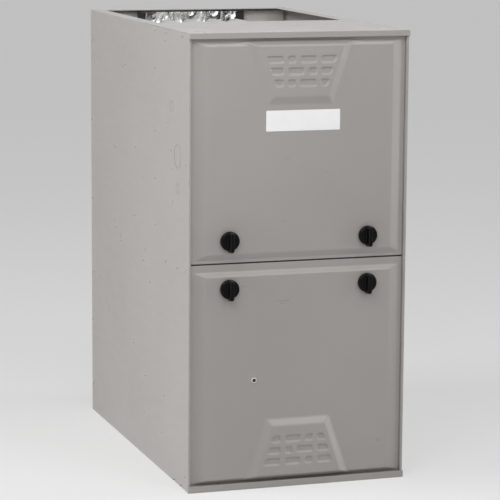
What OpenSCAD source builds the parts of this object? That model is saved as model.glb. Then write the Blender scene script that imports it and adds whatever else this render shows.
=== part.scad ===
// Forced air gas furnace, upright cabinet with two hooked front doors.
// Millimetres. +Z is up and the doors face -Y. The origin is on the floor, under the
// middle of the overall box, which runs from the knobs to the back panel.

/* [Casing] */
// Width over the side panels
casing_w = 445; // [430:1:540]
// Depth from the front lip plane to the back panel
casing_d = 749; // [735:1:800]
// Height over the top plate
casing_h = 889; // [880:1:960]
// Thickness of the casing sheet
sheet = 1.2; // [0.8:0.1:1.6]
// Outer radius of a bend in the casing sheet
bend_out = 2; // [1.5:0.1:2.4]
// Clearance between two sheets that are screwed together
seat_gap = 0.2; // [0.1:0.05:0.3]
// Height of the inner flanges of the top plate
top_flange_h = 14; // [12:1:18]
// Width of the front hem of a side panel
hem_w = 5; // [4:0.5:8]
// Depth of the door seat behind the lip plane
seat_d = 22; // [20:0.5:26]
// Width of the door seat flange
seat_w = 14; // [10:1:20]
// Width of the duct flanges round the supply and return openings
flange_w = 28; // [20:1:35]
// Height of the front lip of the top plate
lip_h = 11; // [9:0.5:14]
// Height of the front lip of the base rail
rail_h = 13; // [11:0.5:15]
// Projection of the top plate and the base rail in front of the side panels
cap_proud = 4; // [3.5:0.5:5]
// Radius of the rounded ends of the top plate and the base rail
cap_r = 3; // [2:0.5:3]
// Depth of the base rail floor
rail_d = 60; // [40:1:80]
// Depth of the top plate, which ends at the supply opening
top_d = 310; // [290:1:330]
// Height of the blower deck above the floor
deck_z = 436; // [430:1:440]
// Depth of the vestibule in front of its panel
vestibule_d = 228; // [222:1:235]
// Thickness of the foil faced liner
liner_t = 8; // [6:0.5:12]

/* [Knock-outs and screws] */
// Radius of the gas pipe opening
gas_hole_r = 23; // [20:0.5:26]
// Radius of a conduit knock-out
conduit_r = 11; // [9:0.5:13]
// Depth of a score line in the sheet
score_d = 0.5; // [0.3:0.1:0.6]
// Depth of the gas line behind the lip plane
gas_d = 76; // [72:1:80]
// Drop of the gas line below the top
gas_drop = 241; // [233:1:249]
// Radius of a screw head
screw_r = 3.8; // [3:0.1:4.5]
// Height of a screw head
screw_h = 1.2; // [0.8:0.1:2]

/* [Doors] */
// Gap between a door and the side hems
door_gap = 1; // [0.8:0.1:2]
// Height of the split between the doors above the deck
split_up = 10; // [8:1:14]
// Gap between the two doors
split_gap = 3; // [2:0.5:5]
// Depth of the flat door margin behind the lip plane
margin_d = 7; // [6:0.5:9]
// Width of the flat margin at the sides of the raised field
side_margin = 5; // [4:0.5:8]
// Width of the soft bevel at the sides of the raised field
side_run = 20; // [14:1:24]
// Flat margin over the field of the upper door
upper_top_margin = 5.5; // [5:0.5:9]
// Flat margin under the field of the upper door
upper_low_margin = 6; // [4:0.5:9]
// Flat margin over the field of the lower door
lower_top_margin = 15; // [10:0.5:18]
// Flat margin under the field of the lower door
lower_low_margin = 1.5; // [1:0.5:5]
// Width of the bevel over a raised field
top_run = 6; // [5:0.5:9]
// Width of the bevel under the field of the upper door
upper_low_run = 12; // [9:0.5:15]
// Width of the bevel under the field of the lower door
lower_low_run = 7; // [5:0.5:9]
// Projection of the trapezoid over the lip plane
trap_raise = 5; // [3:0.5:6]
// Width of the bevel round the trapezoid
trap_run = 13; // [10:0.5:16]
// Extra bevel where the wide end of the trapezoid meets the edge of the field
trap_blend = 3; // [2:0.5:5]
// Half width of the wide end of the trapezoid face
trap_wide = 87.5; // [84:0.5:91]
// Half width of the narrow end of the trapezoid face
trap_narrow = 54.5; // [51:0.5:58]
// Height of the trapezoid face
trap_h = 97.5; // [96:0.5:110]
// Depth of a pocket in the trapezoid
pocket_d = 3; // [2:0.2:3.4]
// Height of a pocket
pocket_h = 14.5; // [12:0.5:17]
// Height from one row of pockets to the next
pocket_pitch = 22.5; // [21:0.5:25]
// Distance from the wide end of the trapezoid to its first row of pockets
pocket_start = 19.5; // [16:0.5:22]
// Width of the web between two pockets
pocket_web = 8; // [5:0.5:10]
// Thickness of the door insulation
door_liner_t = 10; // [6:0.5:11]
// Width of the badge plate
badge_w = 150; // [120:1:160]
// Height of the badge plate
badge_h = 40; // [30:1:45]
// Distance of the badge plate from the middle of the door
badge_x = 6; // [0:0.5:10]
// Thickness of the badge plate
badge_t = 0.8; // [0.5:0.1:1.2]
// Radius of the sight glass
sight_r = 4.5; // [4:0.5:7]

/* [Door knobs] */
// Distance of a knob from the side edge of its door
knob_inset = 75.5; // [66:0.5:86]
// Height of the upper knobs above the door split
knob_up = 45; // [40:1:50]
// Height of the lower knobs below the door split
knob_down = 48.5; // [45:0.5:52]
// Radius of the knob base
knob_r = 19; // [17:0.5:22]
// Projection of the knob in front of the lip plane
knob_proud = 22; // [18:1:26]
// Height of the knob base
knob_base_h = 8; // [6:0.5:10]
// Width of the knob wing
wing_w = 9; // [7:0.5:12]
// Length of the knob wing
wing_l = 33; // [29:0.5:35]
// Radius of the latch shaft
latch_r = 5; // [4:0.5:6]
// Reach of the latch cam from its shaft
latch_reach = 32; // [30:0.5:33]
// Running clearance round a turning shaft
run_gap = 0.08; // [0.03:0.01:0.1]

/* [Blower] */
// Radius of the blower wheel
wheel_r = 127; // [120:1:130]
// Width of the blower wheel
wheel_w = 200; // [180:1:205]
// Number of wheel blades
blades = 40; // [24:1:44]
// Depth of a wheel blade along the radius
blade_d = 18; // [14:1:20]
// Width of the blower housing inside
scroll_w = 230; // [220:1:240]
// Least radius of the blower scroll
scroll_r = 145; // [142:1:150]
// Growth of the blower scroll per quarter turn
scroll_step = 16; // [12:1:18]
// Depth of the blower shaft behind the lip plane
blower_d = 430; // [420:1:450]
// Drop of the blower shaft below the deck
blower_drop = 246; // [240:1:248]
// Radius of the blower motor
motor_r = 70; // [60:1:75]
// Length of the blower motor
motor_l = 130; // [110:1:140]
// Radius of the blower shaft
shaft_r = 6.35; // [5:0.05:8]

/* [Heat exchanger] */
// Radius of a heat exchanger tube
tube_r = 22; // [19:0.5:22.5]
// Wall of a heat exchanger tube
tube_wall = 1.2; // [0.8:0.1:1.6]
// Spacing of the tubes
tube_pitch = 50.8; // [48:0.2:54]
// Drop of the first tube pass below the top
tube_drop = 39; // [35:1:45]
// Gap between the rear tube bends and the back panel
tube_back = 28; // [20:1:40]
// Width of the condensing coil
coil_w = 300; // [270:1:330]
// Height of the condensing coil
coil_h = 130; // [110:1:140]
// Height of the coil above the deck
coil_up = 34; // [30:1:40]
// Number of coil fins
fins = 28; // [12:1:32]
// Distance from the coil up to the last tube pass
tube_coil_gap = 70; // [62:1:80]

/* [Burners and gas] */
// Height of the burner box
burner_box_h = 72; // [68:1:76]
// Depth of the burner box
burner_box_d = 78; // [70:1:85]
// Depth of the gas manifold behind the lip plane
manifold_d = 104; // [100:1:112]
// Radius of the gas manifold
manifold_r = 10.5; // [9:0.5:13]
// Distance of the manifold riser from the middle
riser_x = 150; // [145:1:156]

/* [Inducer] */
// Distance of the inducer from the middle
inducer_x = -40; // [-60:1:-20]
// Height of the inducer shaft above the deck
inducer_up = 119; // [110:1:125]
// Least radius of the inducer scroll
inducer_r = 58; // [54:1:62]
// Growth of the inducer scroll per quarter turn
inducer_step = 6; // [4:1:8]
// Depth of the inducer housing
inducer_depth = 54; // [48:1:58]
// Radius of the inducer wheel
impeller_r = 46; // [40:1:48]
// Radius of the vent pipe that the collar takes
vent_r = 30.2; // [25:0.1:32]
// Distance of the vent collar from the middle
vent_x = 162; // [160:1:164]
// Clearance round the vent pipe in the right side panel
vent_gap = 2; // [1:0.5:4]

/* [Controls] */
// Height of the control panel under the deck
control_h = 302; // [296:1:330]
// Height of the control board above the panel's lower edge
board_up = 32; // [26:1:40]
// Height of the control board
board_h = 120; // [116:1:130]
// Distance of the transformer from the side edge of the panel
transformer_in = 90; // [80:1:100]
// Height of the transformer above the control board
transformer_up = 64; // [60:1:72]

/* [Hidden] */
$fn = 48;

// Paint and metal colours
paint = [0.62, 0.60, 0.58];
top_paint = [0.76, 0.75, 0.73];
zinc = [0.70, 0.72, 0.74];
steel = [0.55, 0.56, 0.58];
black = [0.07, 0.07, 0.08];

// Overlap of a cutting tool past the face that it cuts
past = 1;

// Main planes
half_w = casing_w / 2;
wall_x = half_w - sheet;
fit_x = wall_x - seat_gap;
lip_y = knob_proud - (casing_d + knob_proud) / 2;
back_y = lip_y + casing_d;
side_h = casing_h - sheet;
hem_x = half_w - hem_w;
seat_x = hem_x + sheet - seat_w;
deck_low = deck_z - sheet;
panel_y = lip_y + vestibule_d;
liner_top = casing_h - 44;
gas_z = casing_h - gas_drop;
flange_y = lip_y + top_d + seat_gap;

// Doors
split_z = deck_z + split_up;
upper_z0 = split_z + split_gap / 2;
lower_z1 = split_z - split_gap / 2;
hook = 7;
upper_pivot_z = casing_h - lip_h + 0.5;
lower_pivot_z = rail_h + 1.5;
door_x = hem_x - door_gap;
knob_x = door_x - knob_inset;
margin_y = lip_y + margin_d;
flange_end = lip_y + seat_d - seat_gap;
field_x = door_x - side_margin - side_run;
upper_knob_z = split_z + knob_up;
lower_knob_z = split_z - knob_down;
liner_y = margin_y + sheet + seat_gap;
cam_y = lip_y + seat_d + sheet + 2.8;
cam_t = 2.4;
pocket_floor = pocket_d - trap_raise;
pocket_joints = [-32, 34.5];
pocket_middle = [9.6, -7.6];
pocket_edge = 8;
foot_inset = 0.5;
sight_x = -90;
sight_z = 215.5;

// Blower
blower_y = lip_y + blower_d;
blower_z = deck_z - blower_drop;
scroll_x = scroll_w / 2;
motor_x = 25;
eye_r = wheel_r - blade_d - 3;
ring_lip = 14;

// Heat exchanger
tube_z = casing_h - tube_drop;
coil_z = deck_z + coil_up;
coupling_z = coil_z + coil_h + tube_coil_gap;
bend_r = (tube_z - coupling_z) / 4;
bend_back = back_y - sheet * 2 - tube_back - tube_r - bend_r;
bend_front = panel_y + sheet + 12 + tube_r + bend_r;
coupling_x = 1.5 * tube_pitch + tube_r + 10;
coupling_y = back_y - 99;
coupling_depth = 50;
coil_x = coil_w / 2;
coil_y = panel_y + sheet + seat_gap;
coil_back = coupling_y - seat_gap;
coil_tube_r = 6;

// Burners and gas
burner_box_x = 1.5 * tube_pitch + tube_r + 20;
burner_box_z = tube_z - burner_box_h / 2 - 3;
burner_box_y = panel_y - seat_gap - burner_box_d;
igniter_z = tube_z - 14;
manifold_y = lip_y + manifold_d;
gas_y = lip_y + gas_d;
conduit_back = 42;
conduit_up = 92;
valve_x = [riser_x - 34, riser_x + 36];
valve_z = [gas_z - 30, gas_z + 32];
valve_y = [lip_y + 48, lip_y + 118];

// Inducer
inducer_z = deck_z + inducer_up;
collector_d = 42;
collector_y = panel_y - seat_gap - collector_d;
inducer_y = collector_y - seat_gap - inducer_depth;
tap_x = 14 - coil_x;
tap_y = collector_y + 20;
drain_up = 18;
switch_r = 40;
inducer_wall = 2;
inducer_top = 96;
inducer_motor_r = 37;
inducer_motor_y = inducer_y - 66;
inducer_shaft_r = 4;
socket_r = vent_r + 1;
socket_d = 18;
vent_z = inducer_z + inducer_r / 2 + inducer_step;
vent_y = inducer_y + inducer_depth / 2;
pressure_z = (coil_z + coil_h + burner_box_z) / 2;

// ---------- shared shapes ----------

// A block between two corners, given as one range per axis
module block(x, y, z) {
    translate([x[0], y[0], z[0]]) cube([x[1] - x[0], y[1] - y[0], z[1] - z[0]]);
}

// A rod along one axis
module rod_x(x, y, z, r) {
    translate([x[0], y, z]) rotate([0, 90, 0]) cylinder(r = r, h = x[1] - x[0]);
}
module rod_y(x, y, z, r) {
    translate([x, y[0], z]) rotate([-90, 0, 0]) cylinder(r = r, h = y[1] - y[0]);
}
module rod_z(x, y, z, r) {
    translate([x, y, z[0]]) cylinder(r = r, h = z[1] - z[0]);
}

// A drawing in the side view (y, z), run along X
module run_x(x) {
    translate([x[0], 0, 0]) rotate([90, 0, 90]) linear_extrude(x[1] - x[0]) children();
}
// A drawing in the front view (x, z), run along Y
module run_y(y) {
    translate([0, y[1], 0]) rotate([90, 0, 0]) linear_extrude(y[1] - y[0]) children();
}
// A profile (radius, depth) turned about an axis along Y
module turn_y(x, y, z) {
    translate([x, y, z]) rotate([-90, 0, 0]) rotate_extrude() children();
}
// A profile (radius, length) turned about an axis along X
module turn_x(x, y, z) {
    translate([x, y, z]) rotate([0, 90, 0]) rotate_extrude() children();
}

// An open box of sheet, with its walls inside the given ranges and one side left open
module tray(x, y, z, wall, open_front) {
    y_cut = open_front ? [y[0] - past, y[1] - wall] : [y[0] + wall, y[1] + past];
    difference() {
        block(x, y, z);
        block([x[0] + wall, x[1] - wall], y_cut, [z[0] + wall, z[1] - wall]);
    }
}

// Scroll outline of a centrifugal fan: three quarter arcs that grow by one step each,
// then a straight duct that rises to the given height
module scroll(r, step, top) {
    h = step / 2;
    translate([-h, -h]) intersection() {
        circle(r = r, $fn = 96);
        translate([-r, 0]) square([r, r]);
    }
    translate([h, -h]) intersection() {
        circle(r = r + step, $fn = 96);
        translate([-r - step, -r - step]) square([r + step, r + step]);
    }
    translate([h, h]) intersection() {
        circle(r = r + 2 * step, $fn = 96);
        translate([0, -r - 2 * step]) square([r + 2 * step, r + 2 * step]);
    }
    translate([-h, -h]) square([r + 2 * step + step, top + h]);
    translate([-h - step, -h - step]) square([2 * step, 2 * step]);
}

// ---------- casing ----------

// Screw places on a side panel, as [depth behind the lip plane, height]
panel_screws = [for (k = [0.13, 0.336, 0.547, 0.821]) [vestibule_d + 5, deck_z + k * (side_h - deck_z)]];
deck_screws = [for (k = [0.044, 0.104, 0.211, 0.406, 0.666, 0.96]) [k * casing_d, deck_z - 5]];
top_screws = [for (d = [47, vestibule_d - 70, vestibule_d + 10]) [d, casing_h - 8]];
rear_screws = [for (i = [0:3]) [casing_d - 12, 60 + i * (side_h - 120) / 3]];
rail_screws = [[9, rail_h - 4]];
side_screws = concat(panel_screws, deck_screws, top_screws, rear_screws, rail_screws);

// A quarter bend of sheet round a centre, towards the given signs
module quarter_bend(centre, towards) {
    translate(centre) intersection() {
        difference() {
            circle(r = bend_out);
            circle(r = bend_out - sheet);
        }
        translate([towards[0] > 0 ? 0 : -bend_out, towards[1] > 0 ? 0 : -bend_out]) square(bend_out);
    }
}

// Plan section of the left side panel: rear return, side, round hem and door seat
module side_section() {
    b = bend_out;
    translate([-half_w, lip_y + b]) square([sheet, casing_d - 2 * b]);
    translate([-half_w + b, lip_y]) square([hem_w - 2 * b, sheet]);
    translate([-hem_x - sheet, lip_y + b]) square([sheet, seat_d + sheet - b]);
    translate([-hem_x - sheet, lip_y + seat_d]) square([seat_w, sheet]);
    translate([-half_w + b, back_y - sheet]) square([flange_w - b, sheet]);
    quarter_bend([-half_w + b, lip_y + b], [-1, -1]);
    quarter_bend([-hem_x - b, lip_y + b], [1, -1]);
    quarter_bend([-half_w + b, back_y - b], [-1, 1]);
}

// A ring scored into the outside of the left side panel
module score_ring(d, z, r) {
    rod_x([-half_w - past, -half_w + score_d], lip_y + d, z, r);
}

// The left side panel. Behind the top plate it rises to the full height and carries the duct
// flange. On the open panel the gas knock-out is punched and the vent pipe has its hole.
module side_panel(gas_open) {
    difference() {
        union() {
            linear_extrude(side_h) side_section();
            linear_extrude(casing_h) intersection() {
                side_section();
                translate([-half_w, flange_y]) square([flange_w, back_y - flange_y]);
            }
            block([-half_w, -half_w + flange_w], [flange_y, back_y - bend_out], [casing_h - sheet, casing_h]);
            block([-half_w, -half_w + flange_w], [lip_y + rail_d + seat_gap, back_y - bend_out], [0, sheet]);
        }
        for (s = side_screws) {
            rod_x([-half_w - past, -wall_x + past], lip_y + s[0], s[1], screw_r / 2);
        }
        if (gas_open) {
            rod_x([-half_w - past, -wall_x + past], gas_y, gas_z, gas_hole_r);
            rod_x([-half_w - past, -wall_x + past], vent_y, vent_z, vent_r + vent_gap);
        }
        for (ring = [[gas_d, gas_z, gas_hole_r], [gas_d - 1, gas_z - 63, conduit_r],
                     [gas_d + conduit_back, gas_z + conduit_up, conduit_r]]) {
            difference() {
                score_ring(ring[0], ring[1], ring[2]);
                score_ring(ring[0], ring[1], ring[2] - 1.5);
            }
        }
        for (d = [48, 97]) {
            rod_x([-half_w - past, -wall_x + past], lip_y + d, 0, 5);
        }
    }
}

module left_side_panel() {
    color(paint) side_panel(false);
}

module right_side_panel() {
    color(paint) mirror([1, 0, 0]) side_panel(true);
}

// The back panel sits inside the rear returns of the side panels, between their duct flanges
module back_panel() {
    y1 = back_y - sheet - seat_gap;
    panel_x = fit_x - seat_gap;
    between_x = half_w - flange_w - seat_gap;
    color(paint) {
        block([-panel_x, panel_x], [y1 - sheet, y1], [sheet + seat_gap, casing_h - sheet - seat_gap]);
        block([-between_x, between_x], [y1 - sheet, y1], [0, casing_h]);
        for (z = [0, casing_h - sheet]) {
            block([-between_x, between_x], [y1 - flange_w, y1], [z, z + sheet]);
        }
    }
}

// Plan of a cap in front of the side panels, with rounded front corners, inset by a distance
module cap_plan(inset) {
    w = half_w + sheet - inset;
    r = cap_r - inset;
    front = lip_y - cap_proud + inset;
    intersection() {
        union() {
            translate([r - w, front]) square([2 * (w - r), cap_proud]);
            translate([-w, front + r]) square([2 * w, cap_proud]);
            for (s = [-1, 1]) translate([s * (w - r), front + r]) circle(r = r);
        }
        translate([-w, front]) square([2 * w, lip_y - seat_gap - front]);
    }
}

// Hollow front of a cap of sheet t between heights z, with its web from height web up by t
module front_cap(t, z, web) {
    difference() {
        translate([0, 0, z[0]]) linear_extrude(z[1] - z[0]) cap_plan(0);
        translate([0, 0, z[0] - past]) linear_extrude(web - z[0] + past) union() {
            cap_plan(t);
            translate([-half_w - sheet + t, lip_y - past]) square([casing_w + 2 * (sheet - t), past * 2]);
        }
    }
}

// The top plate covers the front of the casing and carries the hook lip of the upper door.
// Its inner flanges are screwed to the side panels.
module top_plate() {
    turn = flange_w + seat_gap;
    t = sheet - seat_gap;
    color(top_paint) {
        front_cap(t, [casing_h - lip_h, casing_h], casing_h - t);
        block([-half_w, half_w], [lip_y - 2 * seat_gap, lip_y + top_d], [casing_h - t, casing_h]);
        block([turn - half_w, half_w - turn], [lip_y + top_d - t, lip_y + top_d],
            [casing_h - top_flange_h, casing_h]);
        for (s = [-1, 1]) {
            x = s * (fit_x - t / 2);
            block([x - t / 2, x + t / 2], [lip_y + seat_d + sheet + seat_gap, panel_y - seat_gap],
                [casing_h - top_flange_h, casing_h - t / 2]);
        }
    }
}

// The base rail closes the casing under the lower door, whose hook edge hangs behind its face
module base_rail() {
    floor_x = hem_x - seat_gap;
    color(paint) {
        front_cap(sheet, [0, rail_h], rail_h - sheet);
        block([-floor_x, floor_x], [lip_y - cap_proud + sheet / 2, lip_y + seat_d - seat_gap], [0, sheet]);
        block([seat_gap - seat_x, seat_x - seat_gap], [lip_y, lip_y + seat_d + sheet * 2], [0, sheet]);
        block([-fit_x, fit_x], [lip_y + seat_d + sheet + seat_gap, lip_y + rail_d], [0, sheet]);
        block([-fit_x, fit_x], [lip_y + rail_d - sheet, lip_y + rail_d], [0, 16]);
    }
}

// The divider stands between the compartments and is the latch strike of all four cams
module divider_rail() {
    x = -seat_x + seat_gap;
    color(zinc) {
        block([x, -x], [lip_y + seat_d, lip_y + seat_d + sheet], [split_z - 25, split_z + 24]);
        block([x, -x], [lip_y + seat_d, lip_y + seat_d + 38],
            [deck_z + seat_gap, deck_z + seat_gap + sheet]);
    }
}

module blower_deck() {
    front_y = lip_y + seat_d + sheet + seat_gap;
    rear_y = back_y - sheet * 2 - seat_gap * 2;
    duct_y = [blower_y - scroll_step / 2, blower_y + scroll_r + scroll_step * 2.5];
    color(zinc) difference() {
        union() {
            block([-fit_x, fit_x], [front_y, rear_y], [deck_low, deck_z]);
            for (s = [-1, 1]) {
                x = s * (fit_x - sheet / 2);
                block([x - sheet / 2, x + sheet / 2], [front_y, rear_y], [deck_z - 14, deck_z]);
            }
        }
        block([-scroll_x, scroll_x], [duct_y[0] + sheet, duct_y[1] - sheet],
            [deck_low - past, deck_z + past]);
        for (s = side_screws) {
            rod_x([-half_w, half_w], lip_y + s[0], s[1], screw_r / 2);
        }
    }
}

module vestibule_panel() {
    color(zinc) difference() {
        union() {
            block([-fit_x, fit_x], [panel_y, panel_y + sheet],
                [deck_z + seat_gap, side_h - sheet - seat_gap]);
            for (s = [-1, 1]) {
                x = s * (fit_x - sheet / 2);
                block([x - sheet / 2, x + sheet / 2], [panel_y, panel_y + 12],
                    [deck_z + seat_gap, side_h - sheet - seat_gap]);
            }
        }
        for (i = [-1.5:1:1.5]) {
            rod_y(i * tube_pitch, [panel_y - past, panel_y + 2], tube_z, tube_r + seat_gap);
        }
        block([15 - coil_x, coil_x - 15], [panel_y - past, panel_y + 2],
            [coil_z + 15, coil_z + coil_h - 15]);
        for (s = side_screws) {
            rod_x([-half_w, half_w], lip_y + s[0], s[1], screw_r / 2);
        }
    }
}

// Liner boards on the side and back walls round the heat exchanger. Behind the tubes the back
// board rises to the supply opening.
module casing_insulation() {
    tab_x = 2 * tube_pitch + 16;
    y = [panel_y + 14, back_y - sheet * 2 - seat_gap * 2];
    z = [deck_z + seat_gap, liner_top];
    color(zinc) {
        for (s = [-1, 1]) {
            x = s * (fit_x - liner_t / 2);
            block([x - liner_t / 2, x + liner_t / 2], y, z);
        }
        block([liner_t - fit_x + seat_gap, fit_x - liner_t - seat_gap], [y[1] - liner_t, y[1]], z);
        block([-tab_x, tab_x], [y[1] - liner_t, y[1]], [z[0], casing_h - 6]);
    }
}

// Hex washer head screws of both side panels
module casing_screws() {
    color(steel) for (s = side_screws, side = [-1, 1]) {
        y = lip_y + s[0];
        mirror([side > 0 ? 1 : 0, 0, 0]) {
            rod_x([-half_w - screw_h / 2, -half_w], y, s[1], screw_r);
            translate([-half_w - screw_h, y, s[1]]) rotate([0, 90, 0]) {
                cylinder(r = screw_r * 0.75, h = screw_h, $fn = 6);
            }
            rod_x([-half_w - past / 2, -wall_x], y, s[1], screw_r / 2 - seat_gap);
        }
    }
}

// ---------- doors ----------

// Outline of a trapezoid face grown by a bevel: half widths and heights of the face,
// then the growth at its sides, its low edge and its high edge
function grown(w_low, w_high, z_low, z_high, side, low, high) =
    let (m = (w_high - w_low) / (z_high - z_low),
         g = side * sqrt(1 + m * m),
         a = w_low - m * low + g,
         b = w_high + m * high + g)
    [[-a, z_low - low], [a, z_low - low], [b, z_high + high], [-b, z_high + high]];

// A raised pressing in the front view. It is flat at depth front and falls away over the
// given run on each edge to depth back. The cutters start outside the blank and end above it.
module pressing(w_low, w_high, z_low, z_high, front, back, runs) {
    outline = grown(w_low, w_high, z_low, z_high, runs[0], runs[1], runs[2]);
    blank = grown(w_low, w_high, z_low, z_high, runs[0] + 2, runs[1] + 2, runs[2] + 2);
    edge_runs = [runs[1], runs[0], runs[2], runs[0]];
    difference() {
        run_y([lip_y + front, lip_y + back]) polygon(blank);
        for (i = [0:3]) {
            p = outline[i];
            q = outline[(i + 1) % 4];
            a = atan2(q[1] - p[1], q[0] - p[0]);
            slope = edge_runs[i] / (back - front);
            translate([q[0], lip_y, q[1]]) rotate([0, atan2(-cos(a), -sin(a)), 0]) {
                translate([0, 0, -10]) linear_extrude(norm(q - p) + 20) {
                    polygon([[-10, back + past], [-slope * past, back + past],
                        [edge_runs[i] + slope * past, front - past], [-10, front - past]]);
                }
            }
        }
    }
}

// The pressed field and trapezoid of a door. The wide end of the trapezoid points up on the
// upper door and down on the lower one.
module door_pressings(z0, z1, upper) {
    back = margin_d + sheet / 2;
    part = back / margin_d;
    slope = trap_run * (back + trap_raise) / trap_raise;
    low_run = upper ? upper_low_run : lower_low_run;
    edge = (upper ? top_run : low_run) + trap_blend;
    blend = (edge - foot_inset) * (back + trap_raise) / (margin_d + trap_raise);
    pressing(field_x, field_x, z0 + low_run, z1 - top_run, 0, back,
        [side_run * part, low_run * part, top_run * part]);
    if (upper) {
        pressing(trap_narrow, trap_wide, z1 - edge - trap_h, z1 - edge, -trap_raise, back,
            [slope, slope, blend]);
    } else {
        pressing(trap_wide, trap_narrow, z0 + edge, z0 + edge + trap_h, -trap_raise, back,
            [slope, blend, slope]);
    }
}

// Half width of the trapezoid face at height h above its wide end
function face_x(h) = trap_wide - (trap_wide - trap_narrow) * h / trap_h;

// Corner of a pocket: side -1 or 1 follows the slanted edge, 0 keeps x
function pocket_x(x, side, h) = side == 0 ? x : side * (face_x(h) - pocket_edge);

// Pockets of one trapezoid, drawn as if the wide end were down at height zero
module pockets(phase) {
    for (row = [0:2]) {
        h0 = pocket_start + row * pocket_pitch;
        h1 = h0 + pocket_h;
        stops = [0, pocket_joints[0], pocket_middle[(row + phase) % 2], pocket_joints[1], 0];
        for (i = [0:3]) {
            left = i == 0 ? -1 : 0;
            right = i == 3 ? 1 : 0;
            x0 = stops[i] + pocket_web / 2;
            x1 = stops[i + 1] - pocket_web / 2;
            polygon([[pocket_x(x0, left, h0), h0], [pocket_x(x1, right, h0), h0],
                [pocket_x(x1, right, h1), h1], [pocket_x(x0, left, h1), h1]]);
        }
    }
}

// The strips of metal that back the pockets
module pocket_strips() {
    for (row = [0:2]) {
        h0 = pocket_start + row * pocket_pitch;
        h1 = h0 + pocket_h;
        x0 = face_x(h0) - pocket_edge;
        x1 = face_x(h1) - pocket_edge;
        polygon([[-x0 - sheet, h0 - sheet], [x0 + sheet, h0 - sheet],
            [x1 + sheet, h1 + sheet], [-x1 - sheet, h1 + sheet]]);
    }
}

// The sheet of one door between heights z0 and z1, with a plain hook edge and three returns
module door_sheet(z0, z1, upper) {
    field_z0 = z0 + (upper ? upper_low_margin : lower_low_margin);
    field_z1 = z1 - (upper ? upper_top_margin : lower_top_margin);
    base_z = upper ? field_z1 - top_run - trap_blend : field_z0 + lower_low_run + trap_blend;
    flip = upper ? 1 : 0;
    hook_z = upper ? [z0, z1 + hook] : [z0 - hook, z1];
    return_z = upper ? [z0, z1 - 4] : [z0 + 4, z1];
    end_z = upper ? z0 : z1 - sheet;
    knob_z = upper ? upper_knob_z : lower_knob_z;
    difference() {
        union() {
            difference() {
                union() {
                    block([-door_x, door_x], [margin_y, margin_y + sheet], hook_z);
                    door_pressings(field_z0, field_z1, upper);
                }
                translate([0, sheet, 0]) door_pressings(field_z0, field_z1, upper);
            }
            translate([0, 0, base_z]) mirror([0, 0, flip]) {
                run_y([lip_y - trap_raise + sheet / 2, lip_y + pocket_floor + sheet]) {
                    pocket_strips();
                }
            }
            for (s = [-1, 1]) {
                x = s * (door_x - sheet / 2);
                block([x - sheet / 2, x + sheet / 2], [margin_y, flange_end], return_z);
            }
            block([-door_x, door_x], [margin_y, flange_end], [end_z, end_z + sheet]);
        }
        translate([0, 0, base_z]) mirror([0, 0, flip]) {
            run_y([lip_y - trap_raise - past, lip_y + pocket_floor]) {
                pockets(flip);
            }
        }
        for (s = [-1, 1]) {
            rod_y(s * knob_x, [lip_y - past, margin_y], knob_z, latch_r + run_gap);
        }
        if (!upper) rod_y(sight_x, [lip_y - past, margin_y], sight_z, sight_r + run_gap);
    }
}

module upper_door_panel() {
    color(paint) door_sheet(upper_z0, casing_h - lip_h, true);
}

module lower_door_panel() {
    color(paint) door_sheet(rail_h, lower_z1, false);
}

// Board glued behind a door between its side returns, clear of its latches and hook edge
module door_board(z, knob_z) {
    x = door_x - sheet - seat_gap;
    difference() {
        block([-x, x], [liner_y, liner_y + door_liner_t], z);
        for (s = [-1, 1]) {
            rod_y(s * knob_x, [liner_y - past, liner_y + door_liner_t + past], knob_z, 14);
        }
        rod_y(sight_x, [liner_y - past, liner_y + door_liner_t + past], sight_z, 12);
    }
}

module upper_door_insulation() {
    color(zinc) door_board([upper_z0 + 10, upper_pivot_z - 30], upper_knob_z);
}

module lower_door_insulation() {
    color(zinc) door_board([lower_pivot_z + 30, lower_z1 - 10], lower_knob_z);
}

module badge_plate() {
    z0 = casing_h - 189.5;
    color("white") run_y([lip_y - badge_t, lip_y]) translate([badge_x, z0]) {
        translate([-badge_w / 2 + 2, 0]) square([badge_w - 4, badge_h]);
        translate([-badge_w / 2, 2]) square([badge_w, badge_h - 4]);
        for (x = [-1, 1], z = [0, 1]) {
            translate([x * (badge_w / 2 - 2), 2 + z * (badge_h - 4)]) circle(r = 2);
        }
    }
}

module sight_glass() {
    color("darkred") turn_y(sight_x, lip_y, sight_z) {
        polygon([[0, -0.8], [sight_r - 1.2, -0.8], [sight_r - 0.8, -1.6], [sight_r + 0.6, -1.6],
            [sight_r + 1.4, -seat_gap / 2], [sight_r, -seat_gap / 2], [sight_r, 5], [0, 5]]);
    }
}

// Quarter turn knob with a round base and an upright wing
module knob(x, z) {
    front = -knob_proud;
    wing_z0 = wing_w / 2 - knob_r + 1;
    color(black) difference() {
        union() {
            turn_y(x, lip_y, z) {
                polygon([[0, -seat_gap], [knob_r, -seat_gap], [knob_r, 2 - knob_base_h],
                    [knob_r - 2, 0.5 - knob_base_h], [knob_r - 6, -knob_base_h], [0, -knob_base_h]]);
            }
            run_y([lip_y + front, lip_y - seat_gap]) translate([x, z]) {
                translate([-wing_w / 2, wing_z0]) square([wing_w, wing_l - wing_w]);
                for (z = [wing_z0, wing_z0 + wing_l - wing_w]) translate([0, z]) circle(r = wing_w / 2);
            }
        }
        rod_y(x, [lip_y - 7, lip_y], z, latch_r);
    }
}

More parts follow.
